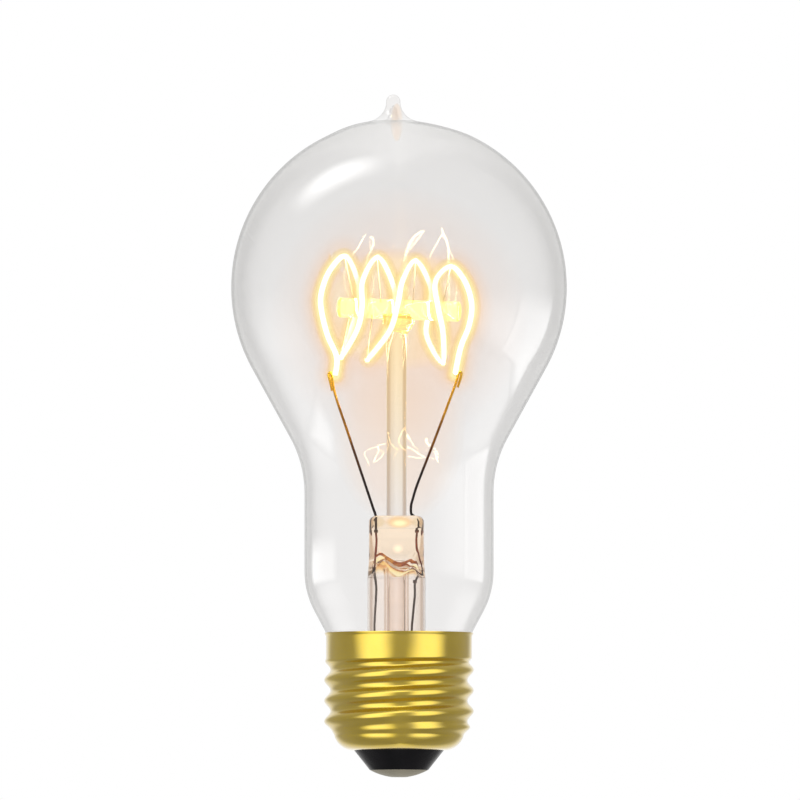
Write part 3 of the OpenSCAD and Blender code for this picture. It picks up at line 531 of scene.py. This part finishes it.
def bead_across(name, drop, swell, mat):
    """Bead of varying radius along the fold's line, at a depth below the hollow's roof."""
    rings, turns = [], [2 * math.pi * k / FOLD_SIDES for k in range(FOLD_SIDES)]
    for (x0, off0, r0), (x1, off1, r1) in zip(FOLD, FOLD[1:]):
        for step in range(FOLD_STEPS):
            t = step / FOLD_STEPS
            x, radius = x0 + (x1 - x0) * t, (r0 + (r1 - r0) * t) * swell
            z = roof_height(x) + off0 + (off1 - off0) * t - drop
            rings.append([(x + STEM_X, FOLD_Y + radius * math.cos(a), z + radius * math.sin(a))
                for a in turns])
    return lofted(name, rings, mat, 60)


for piece in (bead_across("press_fold", 0, 1, fold_glass),
        bead_across("press_meniscus_highlight", MENISCUS_DROP, MENISCUS_SWELL, meniscus_highlight)):
    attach(piece, "root")

# Cross bar: a short glass rod laid on the stem's boss while both are hot. The wires of the hooks are pushed
# into it. It stands in the middle of the light, which is painted on it as a yellow tint and an even glow.
bar_glass = solid_glass("bar_glass", (1, 0.97, 0.62), (1, 0.74, 0.09), (0.0, 0.01, 0.32, 0.32))
refinish("cross_bar", bar_glass)

# Filament: tungsten wire wound into a fine coil, white hot. It hangs in four upper and three lower
# loops round the bar, climbing in front of it and falling behind.
# Places along it are shares of half the span across, of the loops' depth and of their height.
ROUTE = [(-1.00, 0, -1.32), (-0.98, -0.15, -0.97), (-1.13, -0.5, -0.54), (-1.23, -0.7, 0.02),
    (-1.19, -0.65, 0.40), (-1.06, -0.4, 0.76), (-0.84, 0, 1.01), (-0.66, 0.75, 0.60),
    (-0.63, 1, 0.12), (-0.78, 0.8, -0.50), (-0.91, 0, -0.98), (-0.66, -0.8, -0.45),
    (-0.58, -1, 0.00), (-0.57, -0.85, 0.52), (-0.34, 0, 1.01), (-0.12, 0.75, 0.60),
    (-0.06, 1, 0.12), (-0.22, 0.8, -0.50), (-0.50, 0, -1.01), (-0.15, -0.8, -0.45),
    (-0.02, -1, 0.08), (0.06, -0.8, 0.56), (0.26, 0, 0.97), (0.48, 0.75, 0.55),
    (0.50, 1, 0.14), (0.43, 0.8, -0.45), (0.68, 0, -1.01), (0.69, -0.8, -0.45),
    (0.62, -1, 0.00), (0.57, -0.75, 0.55), (0.81, 0, 0.88), (1.03, 0.45, 0.62),
    (1.14, 0.6, 0.18), (1.10, 0.45, -0.25), (0.97, 0.15, -0.68), (0.88, 0, -1.22)]
LOOP_SPAN, BAR_Z, BAR_TILT, BAR_TURN = 22.9, 82.2, math.radians(2.7), math.radians(12)
LOOP_HEIGHT, LOOP_DEPTH = 9.0, 4.2
COIL_DIAMETER, COIL_SLACK, FINE_WIRE, COIL_PITCH, TURN_POINTS = 0.5, 0.01, 0.09, 0.19, 10
half_span = LOOP_SPAN / 2 * math.cos(BAR_TURN)
stations = [Vector((x * half_span, y * LOOP_DEPTH - x * half_span * math.tan(BAR_TURN),
    BAR_Z + z * LOOP_HEIGHT - x * half_span * math.tan(BAR_TILT))) for x, y, z in ROUTE]


def smooth_path(points, steps):
    """Points of the smooth curve that runs through the given ones."""
    path = []
    for i in range(len(points) - 1):
        a, b = points[max(0, i - 1)], points[i]
        c, d = points[i + 1], points[min(len(points) - 1, i + 2)]
        for k in range(steps):
            t = k / steps
            path.append(0.5 * (2 * b + t * (c - a) + t * t * (2 * a - 5 * b + 4 * c - d)
                + t ** 3 * (3 * b - a - 3 * c + d)))
    return path + [points[-1]]


def carried_frames(path):
    """Direction and two cross directions at each point, turned as little as can be on the way."""
    frames, across = [], None
    for i in range(len(path)):
        run = (path[min(len(path) - 1, i + 1)] - path[max(0, i - 1)]).normalized()
        if across is None:
            across = run.cross(Vector((0, 0, 1)) if abs(run.z) < 0.8 else Vector((1, 0, 0)))
        across = (across - across.dot(run) * run).normalized()
        frames.append((run, across, run.cross(across)))
    return frames


def tube(name, path, radius, sides, mat, rounded=False):
    """Round tube along a path in millimetres, with flat ends, or round ones that reach past them."""
    girths = [1] * len(path)
    if rounded:
        beyond = [0.18, 0.36, 0.54, 0.7, 0.83, 0.92, 0.98]
        waning = [math.sqrt(1 - t * t) for t in beyond]
        first, last = (path[0] - path[1]).normalized(), (path[-1] - path[-2]).normalized()
        before = [path[0] + radius * t * first for t in beyond[::-1]]
        path = before + path + [path[-1] + radius * t * last for t in beyond]
        girths = waning[::-1] + girths + waning
    turns = [2 * math.pi * k / sides for k in range(sides)]
    rings = [[centre + girth * radius * (math.cos(a) * u + math.sin(a) * v) for a in turns]
        for centre, (run, u, v), girth in zip(path, carried_frames(path), girths)]
    return lofted(name, rings, mat, 60)


def coiled(path, coil_radius, pitch, turn_points):
    """Helix wound round a path, with as many points to a turn."""
    lengths = [0.0]
    for a, b in zip(path, path[1:]):
        lengths.append(lengths[-1] + (b - a).length)
    frames, wound, i = carried_frames(path), [], 0
    count = int(lengths[-1] / pitch * turn_points)
    for n in range(count + 1):
        reached = n / count * lengths[-1]
        while i < len(path) - 2 and lengths[i + 1] < reached:
            i += 1
        t = (reached - lengths[i]) / (lengths[i + 1] - lengths[i])
        u = frames[i][1].lerp(frames[i + 1][1], t).normalized()
        v = frames[i][2].lerp(frames[i + 1][2], t).normalized()
        a = 2 * math.pi * n / turn_points
        wound.append(path[i].lerp(path[i + 1], t) + coil_radius * (math.cos(a) * u + math.sin(a) * v))
    return wound


HEAT, HEAT_SPREAD, HEAT_COLOUR = 36.0, 0.15, (1, 0.76, 0.38)
hot_wire, add, show = material("white_hot_tungsten")
place = add("ShaderNodeTexCoord").outputs["Object"]
grain = add("ShaderNodeTexNoise", Vector=place, Scale=900.0, Detail=2.0)
heat = add("ShaderNodeMapRange", Value=grain.outputs[0], To_Min=(1 - HEAT_SPREAD) * HEAT,
    To_Max=(1 + HEAT_SPREAD) * HEAT)
# Only a first reflection shows it, or stray sparks reach the brass.
mirrors = add("ShaderNodeLightPath").outputs["Glossy Depth"]
once = add("ShaderNodeMath", "LESS_THAN", _0=mirrors, _1=FIRST_MIRRORS)
strong = add("ShaderNodeMath", "MULTIPLY", _0=heat.outputs[0], _1=once.outputs[0])
show(add("ShaderNodeBsdfPrincipled", Base_Color=(0.5, 0.46, 0.42, 1), Metallic=1.0, Roughness=0.4,
    Emission_Color=(*HEAT_COLOUR, 1), Emission_Strength=strong.outputs[0]).outputs[0])
filament_path = smooth_path(stations, 12)
coil = coiled(filament_path, (COIL_DIAMETER - FINE_WIRE) / 2 - COIL_SLACK, COIL_PITCH, TURN_POINTS)
filament = tube("filament_coil", coil, FINE_WIRE / 2, 4, hot_wire)
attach(filament, "root")
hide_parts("filament")


# Glare: the light that spreads round the hot wire in the picture. It is no part of the lamp, and
# only the camera meets it.
def glare(name, profile, brightness, rear_side):
    """Veil over one side of a round form. Stops are [share of its radius, colour, cover]."""
    mat, add, show = material(name)
    facing = add("ShaderNodeLayerWeight", Blend=0.5).outputs["Facing"]
    upright = add("ShaderNodeMath", "SUBTRACT", _0=1.0, _1=facing)
    square = add("ShaderNodeMath", "MULTIPLY", _0=upright.outputs[0], _1=upright.outputs[0])
    rest = add("ShaderNodeMath", "SUBTRACT", _0=1.0, _1=square.outputs[0])
    aside = add("ShaderNodeMath", "SQRT", _0=rest.outputs[0]).outputs[0]
    colour = shades(add, aside, [(at, tint) for at, tint, cover in profile])
    cover = shades(add, aside, [(at, cover) for at, tint, cover in profile])
    side = add("ShaderNodeNewGeometry").outputs["Backfacing"]
    if not rear_side:
        side = add("ShaderNodeMath", "SUBTRACT", _0=1.0, _1=side).outputs[0]
    seen = add("ShaderNodeMath", "MULTIPLY", _0=side, _1=add("ShaderNodeLightPath").outputs["Is Camera Ray"])
    share = add("ShaderNodeMath", "MULTIPLY", _0=seen.outputs[0], _1=cover)
    clear = add("ShaderNodeBsdfTransparent", Color=(1, 1, 1, 1))
    bright = add("ShaderNodeEmission", Color=colour, Strength=brightness)
    veil = add("ShaderNodeMixShader", _0=share.outputs[0], _1=clear.outputs[0], _2=bright.outputs[0])
    show(veil.outputs[0])
    return mat


coarse_path = smooth_path(stations, 6)
glares = []
# Along the wire: a core on the side that faces the camera, then a fringe and a halo behind it.
for name, radius, sides, brightness, behind, profile in (
        ("glare_core", 0.58, 16, 2.4, False, [(0, (1, 1, 0.9), 1), (0.6, (1, 0.98, 0.78), 1),
            (0.85, (0.66, 0.6, 0.36), 0.6), (1.0, (0.5, 0.44, 0.2), 0.15)]),
        ("glare_fringe", 1.7, 20, 1.12, True, [(0, (1, 0.93, 0.5), 0.92), (0.45, (1, 0.9, 0.42), 0.82),
            (0.7, (1, 0.77, 0.28), 0.48), (1.0, (1, 0.64, 0.2), 0)]),
        ("glare_halo", 4.2, 24, 1.12, True, [(0, (1, 0.6, 0.18), 0.6), (0.35, (1, 0.58, 0.18), 0.42),
            (0.55, (1, 0.57, 0.24), 0.2), (0.78, (1, 0.6, 0.34), 0.08), (1.0, (1, 0.64, 0.42), 0)])):
    veil = glare(name, profile, brightness, behind)
    glares.append(tube(name, coarse_path, radius, sides, veil, rounded=behind))
# Round the loops, below them and in the tip: ellipsoids of [centre, half sizes].
for name, centre, reach, brightness, profile in (
        ("glare_heart", (0, BAR_Z), (14, 8, 11), 1.25, [(0, (1, 0.83, 0.42), 0.45),
            (0.7, (1, 0.79, 0.4), 0.36), (0.88, (1, 0.68, 0.36), 0.14), (1.0, (1, 0.68, 0.36), 0)]),
        ("glare_haze", (0, BAR_Z - 1), (23, 14, 23), 1.0, [(0, (1, 0.62, 0.4), 0.24),
            (0.5, (1, 0.64, 0.44), 0.17), (0.8, (1, 0.68, 0.52), 0.06), (1.0, (1, 0.7, 0.6), 0)]),
        ("glare_low", (0, 62), (12, 6, 18), 1.1, [(0, (1, 0.6, 0.3), 0.36), (0.35, (1, 0.62, 0.36), 0.25),
            (0.7, (1, 0.66, 0.42), 0.07), (1.0, (1, 0.7, 0.5), 0)]),
        ("glare_tip", (-0.4, 115.2), (1.2, 1.0, 3.4), 1.0, [(0, (1, 0.66, 0.4), 0.42),
            (0.6, (1, 0.72, 0.48), 0.3), (1.0, (1, 0.8, 0.6), 0)])):
    form, haze_mesh = bmesh.new(), bpy.data.meshes.new(name)
    bmesh.ops.create_uvsphere(form, u_segments=48, v_segments=24, radius=0.001)
    bmesh.ops.scale(form, vec=reach, verts=form.verts)
    bmesh.ops.translate(form, vec=(centre[0] / 1000, 0, centre[1] / 1000), verts=form.verts)
    form.to_mesh(haze_mesh)
    form.free()
    glares.append(put(name, haze_mesh, glare(name, profile, brightness, True), 180))
for shine in glares:
    shine.visible_glossy = shine.visible_diffuse = shine.visible_transmission = shine.visible_shadow = False

# Hooks: fine molybdenum wires pushed into the hot bar, each ending in a pigtail round a loop. A painted glow
# makes them bright where the hot wire touches them, growing away from the bar.
hook_wire, add, show = material("hook_wire")
place = add("ShaderNodeTexCoord").outputs["Object"]
height = add("ShaderNodeSeparateXYZ", Vector=place).outputs["Z"]
above_bar = add("ShaderNodeMath", "SUBTRACT", _0=height, _1=BAR_Z / 1000)
from_bar = add("ShaderNodeMath", "ABSOLUTE", _0=above_bar.outputs[0])
glow = add("ShaderNodeMapRange", Value=from_bar.outputs[0], From_Min=0.002, From_Max=0.009, To_Min=0.05,
    To_Max=1.6)
show(add("ShaderNodeBsdfPrincipled", Base_Color=(0.62, 0.55, 0.45, 1), Metallic=1.0, Roughness=0.35,
    Emission_Color=(1, 0.62, 0.25, 1), Emission_Strength=glow.outputs[0]).outputs[0])
for row, hooks in (("top", 4), ("bottom", 3)):
    for number in range(1, hooks + 1):
        refinish(f"{row}_hook_{number}", hook_wire)


# Leads: nickel-iron wire with a copper coat, which the flame and the filament have tinted. Their colour
# changes with height, partly that tint and partly painted light: the inner leads turn from brown to gold
# towards the hot wire, and every lead has a faint painted glow. Each is folded over the filament's end. In
# the press a thin seal wire with weld knots joins it to a dull copper wire that runs down inside the stem.
TINT_SPREAD = 0.09


def tinted_lit_wire(name, low, high, roughness, tints):
    """Drawn wire whose colour changes between two heights in metres, through [share, colour], partly tint
    and partly painted light, with a faint painted glow of the same colour.
    """
    mat, add, show = material(name)
    place = add("ShaderNodeTexCoord").outputs["Object"]
    height = add("ShaderNodeSeparateXYZ", Vector=place).outputs["Z"]
    share = add("ShaderNodeMapRange", Value=height, From_Min=low, From_Max=high)
    patches = add("ShaderNodeTexNoise", Vector=place, Scale=420.0, Detail=3.0)
    spread = add("ShaderNodeMapRange", Value=patches.outputs[0], From_Min=0.3, From_Max=0.7,
        To_Min=-TINT_SPREAD, To_Max=TINT_SPREAD)
    mixed = add("ShaderNodeMath", "ADD", _0=share.outputs[0], _1=spread.outputs[0])
    tint = shades(add, mixed.outputs[0], tints)
    dull = add("ShaderNodeMapRange", Value=patches.outputs[0], To_Min=roughness - 0.1,
        To_Max=roughness + 0.1)
    # Its colour also glows faintly, as painted light.
    show(add("ShaderNodeBsdfPrincipled", Base_Color=tint, Metallic=0.4, Specular_IOR_Level=0.2,
        Roughness=dull.outputs[0], Emission_Color=tint, Emission_Strength=0.22).outputs[0])
    return mat


inner_lead = tinted_lit_wire("inner_lead", 0.044, 0.072, 0.35, [(0.0, (0.008, 0.003, 0.002)),
    (0.3, (0.02, 0.006, 0.003)), (0.5, (0.16, 0.05, 0.008)), (0.68, (0.5, 0.2, 0.012)),
    (0.85, (0.9, 0.44, 0.02)), (1.0, (1, 0.56, 0.03))])
seal_wire = tinted_lit_wire("seal_wire", 0.036, 0.0435, 0.4, [(0.0, (0.02, 0.004, 0.003)),
    (0.15, (0.16, 0.02, 0.01)), (0.8, (0.24, 0.04, 0.02)), (1.0, (0.015, 0.004, 0.003))])
outer_lead = tinted_lit_wire("outer_lead", 0.020, 0.036, 0.45, [(0.0, (0.1, 0.045, 0.025)),
    (0.45, (0.02, 0.008, 0.006)), (0.8, (0.003, 0.002, 0.002)), (1.0, (0.003, 0.002, 0.002))])
# Each inner lead rises from its knot, leaves the bead, runs straight and ends in its fold.
INNER_R, OUTER_R, SEAL_R, KNOT_R, KNOT_H = 0.23, 0.21, 0.2, 0.36, 0.5
INNERS = {
    "left": [(-4.05, 0, 43.4), (-4.07, 0, 45.6), (-4.2, 0, 46.3), (-4.52, 0.05, 47.2),
        (-5.09, 0.15, 48.9), (-6.46, 0.55, 53.0), (-7.93, 1.05, 57.4), (-9.33, 1.5, 61.6),
        (-11.2, 2.0, 67.2), (-11.8, 2.3, 70.4), (-11.95, 2.38, 71.1), (-12.2, 2.38, 71.2),
        (-12.38, 2.38, 70.9), (-12.25, 2.3, 70.2), (-11.75, 2.1, 68.0)],
    "right": [(3.15, 0, 43.4), (3.15, 0, 43.7), (3.5, 0, 44.6), (3.25, 0, 45.4), (2.3, 0, 46.1),
        (2.1, 0, 46.6), (2.15, -0.05, 47.8), (2.44, -0.15, 48.9), (3.25, -0.35, 51.5),
        (6.1, -1.1, 58.8), (9.2, -1.9, 67.0), (9.98, -2.05, 69.1), (10.35, -2.1, 70.5),
        (10.55, -2.09, 71.0), (10.8, -2.09, 71.1), (10.95, -2.09, 70.8), (10.8, -2.1, 70.0),
        (10.3, -2.05, 68.4)]}


def along(route, steps):
    """Smooth path through a route's places."""
    return smooth_path([Vector(place) for place in route], steps)


for side, route in INNERS.items():
    wire = tube(side + "_lead_wire", along(route, 6), INNER_R, 12, inner_lead)
    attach(wire, "root")
    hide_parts(side + "_inner_lead")
SEALS = {
    "left": [(-4.05, 0, 43.4), (-4.05, -0.2, 42.9), (-3.95, -1.8, 41.6), (-4.0, -2.5, 40),
        (-4.1, -2.9, 38.3), (-4.15, -2.9, 37.3), (-4.17, -2.6, 36.7), (-4.17, -2.3, 36.3)],
    "right": [(3.15, 0, 43.4), (3.15, -0.2, 42.9), (3.05, -1.8, 41.6), (3.1, -2.5, 40),
        (3.3, -2.6, 39.2), (3.6, -2.5, 38.1), (3.85, -2.1, 37.3), (3.9, -1.7, 36.5),
        (3.55, -1.0, 35.6), (3.05, -0.4, 34.8), (2.8, -0.1, 34.1)]}
for side, route in SEALS.items():
    way = along(route, 4)
    wire = tube(side + "_thin_wire", way, SEAL_R, 10, seal_wire)
    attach(wire, "root")
    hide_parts(side + "_seal_wire")
    for end, top in (("upper", way[0]), ("lower", way[-1] + Vector((0, 0, KNOT_H)))):
        knot = tube(f"{side}_{end}_knot", [top, top - Vector((0, 0, KNOT_H))], KNOT_R, 14, seal_wire)
        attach(knot, "root")
# One outer lead ends inside the shell's collar and the other at the centre contact.
OUTERS = {
    "shell_lead": [(-4.17, -2.3, 36.5), (-4.12, -1.5, 35.4), (-4.0, -0.2, 33.3), (-4.1, 0, 31.1),
        (-4.3, 0, 27.8), (-4.35, 0, 25.8), (-4.1, 0.4, 21), (-3.65, 2.4, 16), (-2, 6.8, 12.5),
        (-0.5, 10.4, 12.9), (0, 11.4, 14.9), (0, 11.4, 18.3), (0, 11.4, 20.7), (0, 12.3, 22.2)],
    "contact_lead": [(2.8, -0.1, 34.5), (2.78, 0, 33.6), (2.8, 0, 32), (2.6, 0, 30),
        (2.4, 0, 27.8), (2.25, 0, 25.8), (2.3, 0.3, 20), (2.6, 0.6, 15), (1.9, 0.8, 9),
        (0.2, 0, 8.1), (0, 0, 7.2), (0, 0, 1.7)]}
for node, route in OUTERS.items():
    wire = tube(node + "_wire", along(route, 5), OUTER_R, 10, outer_lead)
    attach(wire, "root")
    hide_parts(node)

# Screw shell: thin brass sheet drawn into a cup, with its thread rolled in and its rim flared. The
# rolls leave fine lines round it.
CREST_R, THREAD_DEPTH, PITCH, CREST_Z = 13.15, 1.08, 3.629, 13.4
COLLAR_R, COLLAR_H, RIM_FLARE, RIM_Z, SHEET = 12.83, 4.4, 0.27, 25.3, 0.25
HOLE_R, FLOOR_Z, BOWL_R, BOWL_END = 7.9, 4.66, 3.64, math.radians(20)
# Heights over which the thread's middle leaves the bowl, its depth grows, it fades into the collar
# and the rim flares.
BLEND_H, GROWTH_LAG, GROWTH_H, FADE_LEAD, FADE_H, FLARE_H = 2.2, 0.4, 2.0, 1.0, 1.1, 0.7
bowl_c = (HOLE_R, FLOOR_Z + BOWL_R)
bowl_top_r, side_low_z = bowl_c[0] + BOWL_R * math.cos(BOWL_END), bowl_c[1] - BOWL_R * math.sin(BOWL_END)
collar_low_z = RIM_Z - COLLAR_H
thread_mean_r = CREST_R - THREAD_DEPTH / 2


def eased(t):
    """Smooth step from 0 to 1."""
    t = min(1.0, max(0.0, t))
    return t * t * (3 - 2 * t)


def shell_radius(angle, z):
    """Outside radius of the shell's side at an angle and a height, in millimetres."""
    to_collar = eased((z - collar_low_z + FADE_LEAD) / FADE_H)
    plain = bowl_top_r + (thread_mean_r - bowl_top_r) * eased((z - side_low_z) / BLEND_H)
    plain += (COLLAR_R - thread_mean_r) * to_collar
    depth = THREAD_DEPTH * eased((z - side_low_z - GROWTH_LAG) / GROWTH_H) * (1 - to_collar)
    turn = math.cos(2 * math.pi * (z - CREST_Z) / PITCH - angle + math.pi)
    return plain + depth / 2 * turn + RIM_FLARE * eased((z - RIM_Z + FLARE_H) / FLARE_H)


SHELL_STEPS, SIDE_ROWS, BOWL_ROWS = 180, 120, 14
bowl_turns = [math.pi / 2 + (BOWL_END - math.pi / 2) * i / BOWL_ROWS for i in range(BOWL_ROWS)]
side_heights = [side_low_z + (RIM_Z - side_low_z) * i / SIDE_ROWS for i in range(SIDE_ROWS + 1)]


def shell_skin(inset):
    """Rings from the edge of the hole in the floor up to the rim, drawn in by a depth."""
    angles = [2 * math.pi * k / SHELL_STEPS for k in range(SHELL_STEPS)]
    bend = BOWL_R - inset
    rows = [([bowl_c[0] + bend * math.cos(t)] * SHELL_STEPS, bowl_c[1] - bend * math.sin(t))
        for t in bowl_turns]
    rows += [([shell_radius(a, z) - inset for a in angles], z) for z in side_heights]
    return [[(r * math.cos(a), r * math.sin(a), z) for r, a in zip(radii, angles)] for radii, z in rows]


brass, add, show = material("rolled_brass")
place = add("ShaderNodeTexCoord").outputs["Object"]
lines = add("ShaderNodeMapping", Vector=place, Scale=(60, 60, 5200))
rolled = add("ShaderNodeTexNoise", Vector=lines.outputs[0], Scale=1.0, Detail=2.0)
tarnish = add("ShaderNodeTexNoise", Vector=place, Scale=130.0, Detail=4.0)
gold = shades(add, tarnish.outputs[0], [(0.3, (0.8, 0.56, 0.015)), (0.7, (0.9, 0.65, 0.04))])
dull = add("ShaderNodeMapRange", Value=tarnish.outputs[0], From_Min=0.3, From_Max=0.7, To_Min=0.13,
    To_Max=0.19)
uneven = add("ShaderNodeTexNoise", Vector=place, Scale=110.0, Detail=1.0)
dents = add("ShaderNodeBump", Strength=0.85, Distance=0.0006, Height=uneven.outputs[0])
bump = add("ShaderNodeBump", Strength=0.2, Distance=0.00002, Height=rolled.outputs[0],
    Normal=dents.outputs[0])
show(add("ShaderNodeBsdfPrincipled", Base_Color=gold, Metallic=1.0, Roughness=dull.outputs[0],
    Coat_Weight=1.0, Coat_Roughness=0.06, Coat_IOR=1.9, Normal=bump.outputs[0]).outputs[0])
shell = lofted("brass_shell", shell_skin(0) + shell_skin(SHEET)[::-1], brass, 40, endless=True)
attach(shell, "root")
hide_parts("screw_shell")
metal_group.objects.link(shell)
# The coil's direct light leaves out the shell, where it would only be noise.
lit_by_filament = bpy.data.collections.new("lit_by_filament")
lit_by_filament.objects.link(shell)
lit_by_filament.collection_objects[0].light_linking.link_state = "EXCLUDE"
filament.light_linking.receiver_collection = lit_by_filament

# Cement: phenolic putty baked between the glass and the shell. It shows only as a pale ring inside
# the rim.
cement, add, show = material("basing_cement")
place = add("ShaderNodeTexCoord").outputs["Object"]
grit = add("ShaderNodeTexNoise", Vector=place, Scale=900.0, Detail=6.0)
putty = shades(add, grit.outputs[0], [(0.35, (0.3, 0.22, 0.14)), (0.65, (0.5, 0.4, 0.28))])
bump = add("ShaderNodeBump", Strength=0.5, Distance=0.0002, Height=grit.outputs[0])
show(add("ShaderNodeBsdfPrincipled", Base_Color=putty, Roughness=0.9, Normal=bump.outputs[0]).outputs[0])
refinish("basing_cement", cement)

# Insulator: black glass cast into the shell's floor, glossy where the mould touched it. It holds
# the centre contact clear of the shell.
black_glass, add, show = material("black_glass")
place = add("ShaderNodeTexCoord").outputs["Object"]
flow = add("ShaderNodeTexNoise", Vector=place, Scale=260.0, Detail=3.0)
jet = shades(add, flow.outputs[0], [(0.3, (0.004, 0.004, 0.005)), (0.7, (0.012, 0.01, 0.012))])
dull = add("ShaderNodeMapRange", Value=flow.outputs[0], From_Min=0.3, From_Max=0.7, To_Min=0.16, To_Max=0.3)
bump = add("ShaderNodeBump", Strength=0.35, Distance=0.0004, Height=flow.outputs[0])
show(add("ShaderNodeBsdfPrincipled", Base_Color=jet, Roughness=dull.outputs[0],
    Specular_IOR_Level=0.2, Normal=bump.outputs[0]).outputs[0])
refinish("insulator", black_glass)

# Centre contact: a stamped brass plate under a low dome of solder, and a bead of the same solder
# inside the collar on the other lead.
plate_brass, add, show = material("plate_brass")
place = add("ShaderNodeTexCoord").outputs["Object"]
mottle = add("ShaderNodeTexNoise", Vector=place, Scale=700.0, Detail=3.0)
dull_gold = shades(add, mottle.outputs[0], [(0.3, (0.5, 0.36, 0.12)), (0.7, (0.66, 0.5, 0.2))])
show(add("ShaderNodeBsdfPrincipled", Base_Color=dull_gold, Metallic=1.0, Roughness=0.35).outputs[0])
refinish("contact_plate", plate_brass)
solder, add, show = material("solder")
place = add("ShaderNodeTexCoord").outputs["Object"]
frost = add("ShaderNodeTexNoise", Vector=place, Scale=520.0, Detail=5.0)
grey = shades(add, frost.outputs[0], [(0.3, (0.29, 0.265, 0.19)), (0.7, (0.44, 0.4, 0.3))])
dull = add("ShaderNodeMapRange", Value=frost.outputs[0], To_Min=0.3, To_Max=0.6)
bump = add("ShaderNodeBump", Strength=0.4, Distance=0.0002, Height=frost.outputs[0])
show(add("ShaderNodeBsdfPrincipled", Base_Color=grey, Metallic=0.8, Roughness=dull.outputs[0],
    Normal=bump.outputs[0]).outputs[0])
refinish("contact_solder", solder)
refinish("shell_solder", solder)
